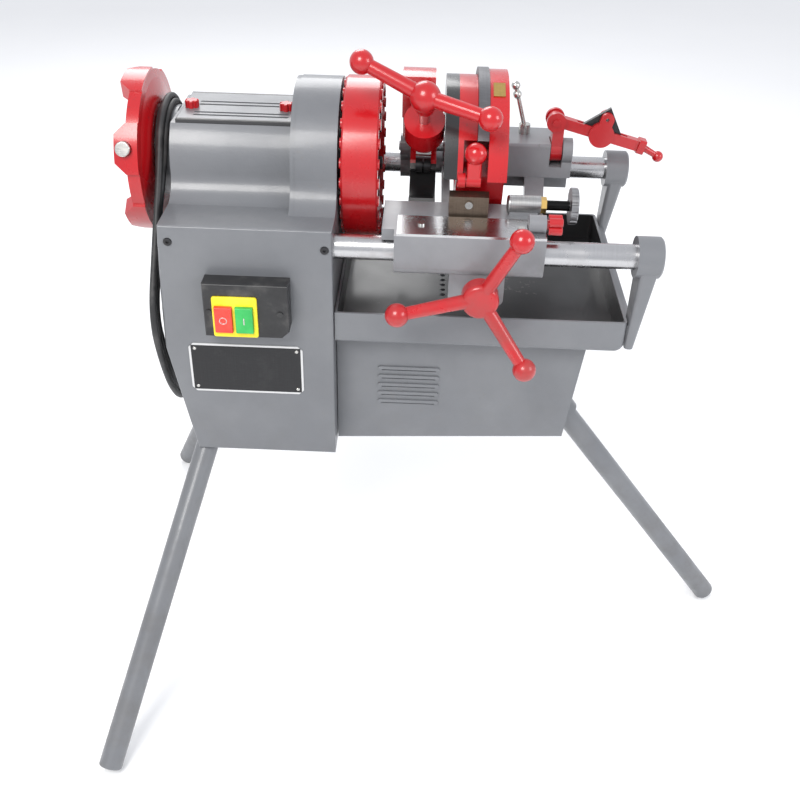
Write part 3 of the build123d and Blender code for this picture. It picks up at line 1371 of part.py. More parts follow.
with BuildPart() as reamer_arm:
    with BuildSketch(Plane.XZ.offset(-link_pin[1] - arm_half_width)):
        with Locations((link_pin[0], link_pin[2])):
            Circle(11)
    extrude(amount=2 * arm_half_width)
    with BuildSketch(on_arm(-8)):
        Rectangle(2 * arm_half_width, 2 * arm_half_width)
    extrude(amount=grip_from + 8)
    with BuildSketch(across_arm(arm_half_width + 2)):
        Circle(17)
        with Locations((0, blade_lug_rise / 2)):
            Rectangle(2 * blade_lug_r, blade_lug_rise)
        with Locations((0, blade_lug_rise)):
            Circle(blade_lug_r)
    extrude(amount=2 * arm_half_width + 4)
    # slot that holds the blade, and the hole for its pin
    with BuildSketch(across_arm(blade_thickness / 2 + running_fit)):
        with Locations((0, blade_height / 2)):
            Rectangle(2 * blade_half + 6, blade_height)
    extrude(amount=blade_thickness + 2 * running_fit, mode=Mode.SUBTRACT)
    with BuildSketch(across_arm(30)):
        with Locations((0, blade_lug_rise)):
            Circle(2.5)
    extrude(amount=60, mode=Mode.SUBTRACT)
    with BuildSketch(on_arm(grip_from)):
        RectangleRounded(grip_block, grip_block, 3)
    extrude(amount=grip_block / 2)
    add(tapered_rod(tuple(on_arm(grip_from + 4).origin), knob_at, 5, 4))
    with Locations(knob_at):
        Sphere(knob_r)
    with BuildSketch(Plane.XZ.offset(-link_pin[1] - 20)):
        with Locations((link_pin[0], link_pin[2])):
            Circle(pin_r + running_fit)
    extrude(amount=40, mode=Mode.SUBTRACT)

with BuildPart() as reamer_blade:
    with BuildSketch(across_arm(blade_thickness / 2)):
        with BuildLine():
            Polyline((-blade_half, 0), (blade_half, 0), (0, blade_height), close=True)
        make_face()
        with Locations((0, blade_lug_rise)):
            Circle(2.5, mode=Mode.SUBTRACT)
    extrude(amount=blade_thickness)

# ---- small controls on the carriage ----------------------------------------
lock_foot = (110.0, rail_back_y - 5.0, block_top_z)
lock_top = (93.0, rail_back_y - 5.0, block_top_z + 65.0)
lock_bead = (96.0, rail_back_y - 5.0, block_top_z + 53.0)
with BuildPart() as carriage_lock_lever:
    with BuildSketch(Plane.XY.offset(block_top_z)):
        with Locations((lock_foot[0], lock_foot[1])):
            Circle(8)
    extrude(amount=13)
    add(tapered_rod((lock_foot[0], lock_foot[1], block_top_z + 8), lock_top, 3.2, 3))
    with Locations(lock_top, lock_bead):
        Sphere(6)

with BuildPart() as valve_body:
    add(yz_disc(75, 11, 40, 0, valve_y, valve_z))
    fillet(valve_body.edges().group_by(Axis.X)[0], radius=3)
    with BuildSketch(Plane.YZ.offset(115)):
        with Locations((valve_y, valve_z)):
            RegularPolygon(10.0, 6)
    extrude(amount=7)
    add(yz_disc(108, 4 + running_fit, 20, 0, valve_y, valve_z), mode=Mode.SUBTRACT)

with BuildPart() as valve_wheel:
    add(yz_disc(109, 4, 20, 0, valve_y, valve_z))
    add(yz_disc(122 + fit, 6, 28, 0, valve_y, valve_z))
    add(yz_disc(150, 22, 9, 0, valve_y, valve_z))
    fillet(valve_wheel.edges().group_by(Axis.X)[-1], radius=2.5)
    with BuildSketch(Plane.YZ.offset(149)):
        with Locations((valve_y, valve_z)):
            with PolarLocations(23, 12):
                Circle(2.4)
    extrude(amount=11, mode=Mode.SUBTRACT)

with BuildPart() as flow_knob:
    add(yz_disc(102, 4, 20, 0, knob_y, knob_z))
    add(yz_disc(sleeve_right_x + fit, 6, 6, 0, knob_y, knob_z))
    with BuildSketch(Plane.YZ.offset(sleeve_right_x + 3)):
        with Locations((knob_y, knob_z)):
            Circle(7)
            with PolarLocations(7, 4, start_angle=45):
                Circle(5.4)
    extrude(amount=16)
    fillet(flow_knob.edges().group_by(Axis.X)[-1], radius=1.5)

# ---- power cord, hung up as a hank over the neck of the rear bearing cap ---
hank_x = head_left_x - 17.0
hank_thickness = 11.0
hank_half_width = 13.0
hank_run = (
    (100, 756), (56, 738), (30, 690), (4, 630), (-32, 582), (-56, 550), (-61, 518), (-53, 486),
    (-38, 447), (-20, 411), (12, 373), (60, 350), (108, 354), (140, 388), (158, 440), (166, 500),
    (169, 560), (169, 620), (167, 690), (144, 738),
)


def hank_outline(grow):
    """Side view of the hank, grown or shrunk from its middle line."""
    edge_points = []
    for number, (y, z) in enumerate(hank_run):
        before = hank_run[number - 1]
        after = hank_run[(number + 1) % len(hank_run)]
        along_y = after[0] - before[0]
        along_z = after[1] - before[1]
        span = sqrt(along_y**2 + along_z**2)
        edge_points.append((y - grow * along_z / span, z + grow * along_y / span))
    with BuildSketch(Plane.YZ, mode=Mode.PRIVATE) as outline:
        with BuildLine():
            Spline(*edge_points, periodic=True)
        make_face()
    return outline.sketch_local


with BuildPart() as cord_hank:
    with BuildSketch(Plane.YZ.offset(hank_x - hank_thickness / 2)):
        add(hank_outline(-hank_half_width))
        add(hank_outline(hank_half_width), mode=Mode.SUBTRACT)
    extrude(amount=hank_thickness)
    with BuildSketch(Plane.YZ.offset(hank_x)):
        add(sector(neck_r, neck_r + 15, 12, 168))
    extrude(amount=head_left_x - 0.5 - hank_x)
    add(yz_disc(hank_x - hank_thickness, neck_r, 40), mode=Mode.SUBTRACT)

cord_run = (
    (cord_exit_x, cord_exit_y, cord_exit_z + gland_grip),
    (cord_exit_x, cord_exit_y, 385.0),
    (-348.0, 156.0, 343.0),
    (-351.0, 98.0, 334.0),
)


def bend_radii(run):
    """Radius at each corner that leaves a tenth of the shorter run straight between bends."""
    radii = []
    for before, corner, after in zip(run, run[1:], run[2:]):
        arriving = Vector(*corner) - Vector(*before)
        leaving = Vector(*after) - Vector(*corner)
        half_turn = radians(arriving.get_angle(leaving)) / 2
        radii.append(0.45 * min(arriving.length, leaving.length) / tan(half_turn))
    return radii


cord_radii = bend_radii(cord_run)
print("power cord bends at", [round(radius) for radius in cord_radii], "mm")
with BuildPart() as power_cord:
    with BuildLine() as cord_path:
        FilletPolyline(*cord_run, radius=cord_radii)
    with BuildSketch(Plane(origin=cord_run[0], z_dir=(0, 0, -1))):
        Circle(cord_r)
    sweep()
cord_length = sum(edge.length for edge in cord_path.edges())
print("power cord volume", round(power_cord.part.volume), "section x length", round(pi * cord_r**2 * cord_length))

plug_middle = (-372.0, 172.0, 400.0)
with BuildPart() as power_plug:
    with BuildSketch(Plane.XY.offset(plug_middle[2])):
        with Locations((plug_middle[0], plug_middle[1])):
            Circle(17)
    extrude(amount=34)
    with BuildSketch(Plane.XY.offset(plug_middle[2] + 34)):
        with Locations((plug_middle[0], plug_middle[1])):
            Circle(13)
    with BuildSketch(Plane.XY.offset(plug_middle[2] + 56)):
        with Locations((plug_middle[0], plug_middle[1])):
            Circle(6.5)
    loft()
    fillet(power_plug.edges().group_by(Axis.Z)[0], radius=2)
    with BuildSketch(Plane.XY.offset(plug_middle[2])):
        with Locations((plug_middle[0], plug_middle[1] - 9.5), (plug_middle[0], plug_middle[1] + 9.5)):
            Circle(2.4)
    extrude(amount=-19)

# ---- labels and files ------------------------------------------------------
named = {
    "headstock_casting": headstock_casting, "front_cover": front_cover, "panel_screws": panel_screws,
    "top_lid": top_lid, "lid_knobs": lid_knobs, "rear_bearing_cap": rear_bearing_cap,
    "spindle_bearings": spindle_bearings, "gear_motor": gear_motor, "motor_pinion": motor_pinion,
    "layshaft": layshaft, "spindle": spindle, "spindle_gear": spindle_gear, "chuck_wheel": chuck_wheel,
    "rear_wheel": rear_wheel, "front_rail": front_rail, "back_rail": back_rail,
    "end_bracket": end_bracket, "chip_tray": chip_tray, "tank_cabinet": tank_cabinet,
    "oil_pump": oil_pump, "switch_box": switch_box, "switch_frame": switch_frame,
    "nameplate": nameplate, "carriage": carriage, "guard_strip": guard_strip,
    "carriage_screws": carriage_screws, "template_block": template_block, "handwheel": handwheel,
    "pinion_shaft": pinion_shaft, "tool_pivot_shaft": tool_pivot_shaft, "cutter_frame": cutter_frame,
    "cutter_slide": cutter_slide, "cutter_wheel": cutter_wheel, "cutter_rollers": cutter_rollers,
    "cutter_handle": cutter_handle, "die_head_body": die_head_body, "cam_ring": cam_ring,
    "thread_dies": thread_dies, "die_lever": die_lever, "reamer_link": reamer_link,
    "reamer_arm": reamer_arm, "reamer_blade": reamer_blade,
    "carriage_lock_lever": carriage_lock_lever, "valve_body": valve_body, "valve_wheel": valve_wheel,
    "flow_knob": flow_knob, "power_cord": power_cord, "cord_hank": cord_hank, "power_plug": power_plug,
}
for name, builder in named.items():
    builder.part.label = name
pieces = [builder.part for builder in named.values()] + jaws + screws + legs + buttons
os.makedirs("parts", exist_ok=True)
for piece in pieces:
    export_step(piece, f"parts/{piece.label}.step")
print(len(pieces), "pieces written")
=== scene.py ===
# %% Pipe threading machine: finish and small parts
# %% [markdown]
# The machine is a grey headstock and cabinet on three tubular legs. Its turning and
# working parts are red, and its rails and screws are bare metal. This lesson puts a
# finish on every machined part, then adds the few parts that are easier to form by hand.
# All sizes are in metres, with X along the spindle and Z up.

# %% The frame
import json
from math import cos, radians, sin
import bpy
from mathutils import Matrix, Vector


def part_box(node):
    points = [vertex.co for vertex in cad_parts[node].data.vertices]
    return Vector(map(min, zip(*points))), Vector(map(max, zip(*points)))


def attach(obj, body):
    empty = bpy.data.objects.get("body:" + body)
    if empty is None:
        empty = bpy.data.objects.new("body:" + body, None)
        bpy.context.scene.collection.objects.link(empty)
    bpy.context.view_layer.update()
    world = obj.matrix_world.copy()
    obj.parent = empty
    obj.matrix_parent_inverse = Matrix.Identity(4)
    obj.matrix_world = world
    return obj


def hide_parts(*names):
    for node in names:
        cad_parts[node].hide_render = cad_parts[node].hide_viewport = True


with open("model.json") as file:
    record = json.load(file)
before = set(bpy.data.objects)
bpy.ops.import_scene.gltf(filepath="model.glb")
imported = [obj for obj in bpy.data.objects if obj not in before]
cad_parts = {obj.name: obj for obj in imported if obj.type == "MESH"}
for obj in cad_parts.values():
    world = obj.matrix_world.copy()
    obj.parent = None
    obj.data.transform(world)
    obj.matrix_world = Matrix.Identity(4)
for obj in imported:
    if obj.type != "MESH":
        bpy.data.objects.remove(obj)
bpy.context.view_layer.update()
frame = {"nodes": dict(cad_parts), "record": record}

nodes = frame["nodes"]
MM = 0.001
spindle_y = 0.100
spindle_z = 0.686
print("frame of", len(nodes), "parts")


def low(node):
    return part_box(node)[0]


def high(node):
    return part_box(node)[1]


def middle(node):
    return (low(node) + high(node)) / 2


# %% [markdown]
# The camera stands in front of the switch, a little above the machine, and looks down
# at it. Its three axes are written out, because a tripod is never quite level.

# %% Camera
camera_data = bpy.data.cameras.new("bench camera")
camera_data.lens = 45
camera_data.sensor_width = 36
camera_data.dof.use_dof = False
camera = bpy.data.objects.new("bench camera", camera_data)
bpy.context.scene.collection.objects.link(camera)
camera_right = Vector((0.99910, 0.03564, 0.02313))
camera_up = Vector((-0.03928, 0.56726, 0.82260))
camera_forward = Vector((-0.01620, 0.82277, -0.56815))
camera_turn = Matrix((camera_right, camera_up, -camera_forward)).transposed()
camera.matrix_world = Matrix.Translation((-0.0249, -1.1236, 1.1556)) @ camera_turn.to_4x4()
bpy.context.scene.camera = camera
print("camera at", [round(v, 3) for v in camera.location])

# %% [markdown]
# The power cord leaves its gland downwards, joins the hank and is wound almost three
# times over the neck behind the rear wheel. It ends in the plug. A wound cord keeps one
# lane per turn: the lanes hang one outside the other, and lie side by side on the neck.

# %% Cord route
cord_r = 4.25 * MM
neck_r = 56 * MM
hank_x = -0.351
gland_run = (
    (-0.344, 0.190, 0.460),
    (-0.344, 0.190, 0.3854),
    (-0.346, 0.1734, 0.3567),
    (-0.349, 0.140, 0.342),
)
plug_run = (
    (-0.358, 0.178, 0.555),
    (-0.371, 0.173, 0.510),
    (-0.372, 0.172, 0.480),
    (-0.372, 0.172, 0.450),
)
hank_loop = (
    (60, 350), (12, 373), (-20, 411), (-38, 447), (-53, 486), (-61, 518), (-56, 550), (-32, 582),
    (4, 630), (30, 690), (56, 738), (100, 756), (144, 738), (167, 690), (169, 620), (169, 560),
    (166, 500), (158, 440), (140, 388), (108, 354),
)
lane_gap = 8.6 * MM
lane_on_neck_x = (-0.3520, -0.3432, -0.3476)
rest_above_neck = 3 * MM
last_lane_rise = 7.4 * MM   # the third turn lies in the groove between the first two
neck_starts_z = 0.640
neck_reached_z = 0.710
turns = 3
turn_end = 15           # the last turn leaves the hank here, on its way down to the plug


def on_lane(step, lane):
    """Point of one turn of the hank, pushed outwards by its lane."""
    count = len(hank_loop)
    y, z = hank_loop[step % count]
    before = hank_loop[(step - 1) % count]
    after = hank_loop[(step + 1) % count]
    along = Vector((after[0] - before[0], after[1] - before[1])).normalized()
    outward = Vector((-along.y, along.x))
    y = y * MM
    z = z * MM
    on_neck = min(max((z - neck_starts_z) / (neck_reached_z - neck_starts_z), 0), 1)
    on_neck = on_neck * on_neck * (3 - 2 * on_neck)
    push = (lane - 1) * lane_gap
    lane_r = neck_r + cord_r + rest_above_neck + (last_lane_rise if lane == 2 else 0)
    from_axis = Vector((y - spindle_y, z - spindle_z)).normalized() * lane_r
    loose = Vector((hank_x, y + push * outward.x, z + push * outward.y))
    laid = Vector((lane_on_neck_x[lane], spindle_y + from_axis.x, spindle_z + from_axis.y))
    return loose.lerp(laid, on_neck)


cord_points = [Vector(point) for point in gland_run]
for turn in range(turns):
    last = turn_end if turn == turns - 1 else len(hank_loop)
    for step in range(last):
        cord_points.append(on_lane(step, turn))
cord_points += [Vector(point) for point in plug_run]

cord_curve = bpy.data.curves.new("cord route", "CURVE")
cord_curve.dimensions = "3D"
cord_spline = cord_curve.splines.new("NURBS")
cord_spline.points.add(len(cord_points) - 1)
for point, place in zip(cord_spline.points, cord_points):
    point.co = (*place, 1)
    point.radius = cord_r
cord_spline.order_u = 3
cord_spline.use_endpoint_u = True
cord_curve.resolution_u = 8
cord_curve.bevel_depth = 1
cord_curve.bevel_resolution = 4
cord_curve.use_fill_caps = True
cord_piece = bpy.data.objects.new("wound_cord", cord_curve)
bpy.context.scene.collection.objects.link(cord_piece)
cord_length = cord_spline.calc_length()
print("cord of", round(cord_length, 3), "m in", turns, "turns")
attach(cord_piece, "base")
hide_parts("power_cord", "cord_hank")

# %% [markdown]
# A pale floor and a soft studio: one wide lamp above and in front, a second from the
# left, a weak one behind, and a bright room around. Shadows stay faint.

# %% Studio
bpy.ops.object.select_all(action="DESELECT")
bpy.ops.mesh.primitive_plane_add(size=30, location=(0, 0, 0))
floor = bpy.context.object
floor.name = "studio floor"


def area_lamp(name, place, aim, width, power, tint=(1, 1, 1)):
    """Soft square lamp that looks at a point."""
    data = bpy.data.lights.new(name, "AREA")
    data.shape = "SQUARE"
    data.size = width
    data.energy = power
    data.color = tint
    lamp = bpy.data.objects.new(name, data)
    bpy.context.scene.collection.objects.link(lamp)
    lamp.location = place
    lamp.rotation_euler = (Vector(aim) - Vector(place)).to_track_quat("-Z", "Y").to_euler()
    return lamp


area_lamp("key lamp", (-0.9, -1.9, 2.6), (0, 0, 0.5), 1.2, 58, (1.0, 0.985, 0.96))
area_lamp("side lamp", (2.2, -0.9, 1.6), (0, 0, 0.5), 1.0, 20, (0.95, 0.97, 1.0))
area_lamp("back lamp", (-0.6, 2.2, 2.2), (0, 0, 0.6), 1.4, 30)
world = bpy.data.worlds.new("studio room")
bpy.context.scene.world = world
world.use_nodes = True
room = world.node_tree.nodes["Background"]
room.inputs["Color"].default_value = (0.93, 0.95, 1.0, 1)
room.inputs["Strength"].default_value = 0.85
bpy.context.scene.view_settings.view_transform = "Standard"
print("studio with", len(bpy.data.lights), "lamps")

# %% [markdown]
# Three effects serve many finishes, so each is a shader group of its own: the skin of a
# painted casting, the marks that a tool leaves on bare metal, and the dirt that gathers
# low down and in patches. Each gives a mask or a height, and the finish decides its use.

# %% Shader helpers


class Wiring:
    """Short way to add and join shader nodes in one tree."""

    def __init__(self, tree):
        self.tree = tree

    def add(self, kind, **settings):
        node = self.tree.nodes.new(kind)
        for name, value in settings.items():
            setattr(node, name, value)
        return node

    def join(self, source, target):
        self.tree.links.new(source, target)

    def put(self, value, target):
        """A number or colour is set, and a socket is joined."""
        if hasattr(value, "is_output"):
            self.join(value, target)
        elif hasattr(value, "__len__") and len(value) == 3 and target.type == "RGBA":
            target.default_value = (*value, 1)
        else:
            target.default_value = value

    def noise(self, vector, scale, detail=3.0, roughness=0.55):
        node = self.add("ShaderNodeTexNoise")
        self.join(vector, node.inputs["Vector"])
        node.inputs["Scale"].default_value = scale
        node.inputs["Detail"].default_value = detail
        node.inputs["Roughness"].default_value = roughness
        return node.outputs["Fac"]

    def span(self, value, low_in, high_in, low_out=0.0, high_out=1.0):
        node = self.add("ShaderNodeMapRange")
        node.clamp = True
        self.put(value, node.inputs["Value"])
        node.inputs["From Min"].default_value = low_in
        node.inputs["From Max"].default_value = high_in
        node.inputs["To Min"].default_value = low_out
        node.inputs["To Max"].default_value = high_out
        return node.outputs["Result"]

    def math(self, operation, first, second=0.0):
        node = self.add("ShaderNodeMath", operation=operation)
        self.put(first, node.inputs[0])
        self.put(second, node.inputs[1])
        return node.outputs[0]

    def blend(self, mask, first, second):
        node = self.add("ShaderNodeMix", data_type="RGBA")
        self.put(mask, node.inputs["Factor"])
        self.put(first, node.inputs["A"])
        self.put(second, node.inputs["B"])
        return node.outputs["Result"]

    def place(self):
        return self.add("ShaderNodeTexCoord").outputs["Object"]

    def stretch(self, vector, scale, turn=(0, 0, 0)):
        node = self.add("ShaderNodeMapping")
        self.join(vector, node.inputs["Vector"])
        node.inputs["Scale"].default_value = scale
        node.inputs["Rotation"].default_value = turn
        return node.outputs["Vector"]


def new_group(name, inputs, outputs):
    """Empty shader group with float inputs (name, value) and outputs."""
    tree = bpy.data.node_groups.new(name, "ShaderNodeTree")
    tree.interface.new_socket("Position", in_out="INPUT", socket_type="NodeSocketVector")
    for label, value in inputs:
        socket = tree.interface.new_socket(label, in_out="INPUT", socket_type="NodeSocketFloat")
        socket.default_value = value
    for label in outputs:
        tree.interface.new_socket(label, in_out="OUTPUT", socket_type="NodeSocketFloat")
    wires = Wiring(tree)
    start = wires.add("NodeGroupInput")
    end = wires.add("NodeGroupOutput")
    return tree, wires, start, end


def use_group(wires, tree, position, **values):
    node = wires.add("ShaderNodeGroup")
    node.node_tree = tree
    wires.join(position, node.inputs["Position"])
    for label, value in values.items():
        wires.put(value, node.inputs[label.replace("_", " ")])
    return node


# %% Casting skin
casting_skin, wires, start, end = new_group(
    "casting skin", [("Coarseness", 1.0)], ["Height", "Mottle", "Chips"])
spot = start.outputs["Position"]
grains = wires.noise(spot, 420, 4, 0.6)
waves = wires.noise(spot, 60, 3, 0.5)
height = wires.math("ADD", wires.math("MULTIPLY", grains, 0.6), wires.math("MULTIPLY", waves, 0.9))
wires.join(wires.math("MULTIPLY", height, start.outputs["Coarseness"]), end.inputs["Height"])
wires.join(wires.noise(spot, 9, 5, 0.6), end.inputs["Mottle"])
where_chipped = wires.span(wires.noise(spot, 14), 0.5, 0.62)
flecks = wires.math("MULTIPLY", wires.noise(spot, 150, 4, 0.7), where_chipped)
wires.join(wires.span(flecks, 0.60, 0.63), end.inputs["Chips"])

# %% Tool marks
tool_marks, wires, start, end = new_group(
    "tool marks", [("Scratches", 1.0)], ["Height", "Tone", "Stains"])
spot = start.outputs["Position"]
rings = wires.noise(wires.stretch(spot, (900, 14, 14)), 1.0, 2, 0.5)
lines = wires.noise(wires.stretch(spot, (60, 300, 300), (0.1, 0.05, 0.2)), 2.0, 2, 0.5)
wires.join(wires.math("MULTIPLY", wires.math("ADD", rings, lines), start.outputs["Scratches"]),
           end.inputs["Height"])
wires.join(wires.math("ADD", wires.math("MULTIPLY", rings, 0.5), wires.math("MULTIPLY", lines, 0.5)),
           end.inputs["Tone"])
wires.join(wires.span(wires.noise(spot, 22, 5, 0.65), 0.5, 0.72), end.inputs["Stains"])

# %% Workshop dirt
workshop_dirt, wires, start, end = new_group(
    "workshop dirt", [("Floor height", 0.0), ("Reach", 0.4)], ["Dirt"])
spot = start.outputs["Position"]
split = wires.add("ShaderNodeSeparateXYZ")
wires.join(spot, split.inputs[0])
above = wires.math("SUBTRACT", split.outputs["Z"], start.outputs["Floor height"])
fade = wires.math("SUBTRACT", 1.0, wires.math("DIVIDE", above, start.outputs["Reach"]))
patches = wires.span(wires.noise(spot, 26, 5, 0.65), 0.42, 0.70)
wires.join(wires.math("MULTIPLY", wires.span(fade, 0, 1), patches), end.inputs["Dirt"])
print("effects:", [group.name for group in bpy.data.node_groups])

# %% [markdown]
# Each finish below is one function's work. Paint carries the casting skin, a little
# mottle and small chips. Bare metal carries the tool marks and oil stains. Where one
# casting has two finishes, a box or a plane through it divides them.


# %% Finishes
def new_finish(name):
    finish = bpy.data.materials.new(name)
    finish.use_nodes = True
    wires = Wiring(finish.node_tree)
    shader = finish.node_tree.nodes["Principled BSDF"]
    return finish, wires, shader


def bumped(wires, shader, height, strength, distance=0.0006):
    bump = wires.add("ShaderNodeBump")
    bump.inputs["Strength"].default_value = strength
    bump.inputs["Distance"].default_value = distance
    wires.join(height, bump.inputs["Height"])
    wires.join(bump.outputs["Normal"], shader.inputs["Normal"])


def enamel(name, colour, shade, rough=0.32, coarse=1.0, coat=0.25, chip=(0.16, 0.15, 0.14), chips=0.5,
           dirt_from=0.0, dirt_reach=0.5, bump=0.25, mask=None, bare=None):
    """Paint on iron: colour drifts towards shade, with chips, dirt and a cast skin."""
    finish, wires, shader = new_finish(name)
    spot = wires.place()
    skin = use_group(wires, casting_skin, spot, Coarseness=coarse)
    dirt = use_group(wires, workshop_dirt, spot, Floor_height=dirt_from, Reach=dirt_reach)
    base = wires.blend(wires.span(skin.outputs["Mottle"], 0.35, 0.65), colour, shade)
    if mask:
        base = mask(wires, spot, base)
    if bare:
        unpainted = bare(wires, spot)
        base = wires.blend(unpainted, base, bright_steel)
        wires.put(unpainted, shader.inputs["Metallic"])
    base = wires.blend(wires.math("MULTIPLY", skin.outputs["Chips"], chips), base, chip)
    base = wires.blend(wires.math("MULTIPLY", dirt.outputs["Dirt"], 0.35), base, (0.10, 0.085, 0.07))
    wires.put(base, shader.inputs["Base Color"])
    uneven = wires.span(skin.outputs["Mottle"], 0.3, 0.7, rough - 0.06, rough + 0.10)
    wires.join(wires.math("ADD", uneven, wires.math("MULTIPLY", dirt.outputs["Dirt"], 0.3)),
               shader.inputs["Roughness"])
    shader.inputs["Coat Weight"].default_value = coat
    shader.inputs["Coat Roughness"].default_value = 0.12
    bumped(wires, shader, skin.outputs["Height"], bump)
    return finish


def bare_metal(name, colour, stain, rough=0.28, marks=1.0, bump=0.15, stains=0.5, metallic=1.0,
               contrast=0.22, mask=None):
    """Machined metal with fine marks across X and brown or black stains."""
    finish, wires, shader = new_finish(name)
    spot = wires.place()
    cuts = use_group(wires, tool_marks, spot, Scratches=marks)
    darker = [part * (1 - contrast) for part in colour]
    tone = wires.blend(wires.span(cuts.outputs["Tone"], 0.35, 0.65), colour, darker)
    tone = wires.blend(wires.math("MULTIPLY", cuts.outputs["Stains"], stains), tone, stain)
    if mask:
        tone = mask(wires, spot, tone)
    wires.put(tone, shader.inputs["Base Color"])
    shader.inputs["Metallic"].default_value = metallic
    wires.join(wires.span(cuts.outputs["Stains"], 0, 1, rough, rough + 0.2), shader.inputs["Roughness"])
    bumped(wires, shader, cuts.outputs["Height"], bump, 0.0003)
    return finish


def moulded(name, colour, rough=0.4, grain=700, bump=0.2, dust=0.15):
    """Plastic or rubber with a fine moulded grain and a trace of dust."""
    finish, wires, shader = new_finish(name)
    spot = wires.place()
    texture = wires.noise(spot, grain, 2, 0.5)
    drift = wires.noise(spot, 30, 4, 0.6)
    lighter = [min(c * 1.35 + 0.01, 1) for c in colour]
    base = wires.blend(wires.span(drift, 0.35, 0.65), colour, lighter)
    base = wires.blend(wires.math("MULTIPLY", wires.span(drift, 0.5, 0.7), dust), base, (0.32, 0.30, 0.28))
    wires.put(base, shader.inputs["Base Color"])
    wires.join(wires.span(drift, 0.3, 0.7, rough - 0.07, rough + 0.1), shader.inputs["Roughness"])
    bumped(wires, shader, texture, bump, 0.0003)
    return finish


def inside_box(wires, spot, lowest, highest):
    """1 inside a box of the object's own space, 0 outside."""
    split = wires.add("ShaderNodeSeparateXYZ")
    wires.join(spot, split.inputs[0])
    mask = 1.0
    for axis, bottom, top in zip("XYZ", lowest, highest):
        over = wires.math("GREATER_THAN", split.outputs[axis], bottom)
        under = wires.math("LESS_THAN", split.outputs[axis], top)
        mask = wires.math("MULTIPLY", wires.math("MULTIPLY", over, under), mask)
    return mask


black = (0.016, 0.016, 0.017)
# painted shade: black for the lid's shallow grooves and its two long edges
painted_groove_shade = (0.030, 0.030, 0.032)
tray_black = (0.014, 0.014, 0.015)
brass = (0.62, 0.42, 0.14)
bright_steel = (0.62, 0.62, 0.61)
plate_steel = (0.62, 0.62, 0.62)
grey = (0.175, 0.181, 0.192)
grey_shade = (0.150, 0.156, 0.168)
pale_grey = (0.250, 0.255, 0.268)
pale_grey_shade = (0.210, 0.215, 0.228)
red = (0.52, 0.005, 0.009)
red_shade = (0.42, 0.003, 0.007)

far = Vector((1, 1, 1))                 # past every side of the machine
tray_sheet = 3.2 * MM
lid_rib_depth = 1.2 * MM
lid_front_line = 5 * MM
lid_back_line = 6 * MM
die_back_plate_x = 12.8 * MM
jaw_back_y = 0.158
jaw_top_z = 0.668
up_the_screw = Vector((0, -cos(radians(50)), sin(radians(50))))
neck_end = 0.1160                       # bare part of the screw ends here, from the pipe's axis
nut_left_x = 0.115
valve_wheel_left_x = 0.1498
plate_border_width = 2.6 * MM


def tray_inside(wires, spot, base):
    """The tray is painted black inside."""
    lowest = low("chip_tray") + far * tray_sheet
    highest = high("chip_tray") + Vector((-tray_sheet, -tray_sheet, 0.01))
    return wires.blend(inside_box(wires, spot, lowest, highest), base, tray_black)


def lid_groove_shade(wires, spot, base):
    """Painted shade: the grooves and the two long edges of the lid are painted black between the grey
    ribs.
    """
    rib_z = high("top_lid").z - lid_rib_depth
    front_y = low("top_lid").y + lid_front_line
    back_y = high("top_lid").y - lid_back_line
    grooves = inside_box(wires, spot, -far, Vector((1, 1, rib_z)))
    front = inside_box(wires, spot, -far, Vector((1, front_y, 1)))
    back = inside_box(wires, spot, Vector((-1, back_y, 0)), far)
    mask = wires.math("MAXIMUM", grooves, wires.math("MAXIMUM", front, back))
    return wires.blend(mask, base, painted_groove_shade)


def die_head_back(wires, spot, base):
    """The die head is painted black from its left end up to die_back_plate_x."""
    return wires.blend(inside_box(wires, spot, -far, Vector((die_back_plate_x, 1, 1))), base, black)


def lower_jaw(wires, spot, base):
    """The frame is painted black below jaw_top_z and in front of jaw_back_y, over the jaw and arm under
    the pipe.
    """
    return wires.blend(inside_box(wires, spot, -far, Vector((1, jaw_back_y, jaw_top_z))), base, black)


def screw_neck(wires, spot):
    """Bare steel of the cutter's screw, between its housing and the hub of the handle."""
    reach = wires.add("ShaderNodeVectorMath", operation="DOT_PRODUCT")
    wires.join(spot, reach.inputs[0])
    reach.inputs[1].default_value = up_the_screw
    pipe_axis = Vector((0, spindle_y, spindle_z)).dot(up_the_screw)
    return wires.math("LESS_THAN", reach.outputs["Value"], pipe_axis + neck_end)


def brass_nut(wires, spot, base):
    """The gland nut of the oil valve is brass."""
    return wires.blend(inside_box(wires, spot, Vector((nut_left_x, -1, -1)), far), base, brass)


def black_stem(wires, spot, base):
    """The stem behind the valve's wheel is black."""
    return wires.blend(inside_box(wires, spot, -far, Vector((valve_wheel_left_x, 1, 1))), base, black)


def plate_border(wires, spot, base):
    """Bright border round the blank nameplate."""
    border = Vector((plate_border_width, -1, plate_border_width))
    field = inside_box(wires, spot, low("nameplate") + border, high("nameplate") - border)
    return wires.blend(field, plate_steel, base)


def red_enamel(name, chips=0.35, **extra):
    """The glossy red of the working parts."""
    return enamel(name, red, red_shade, rough=0.26, coat=0.5, bump=0.14, chips=chips,
                  chip=(0.10, 0.03, 0.03), **extra)


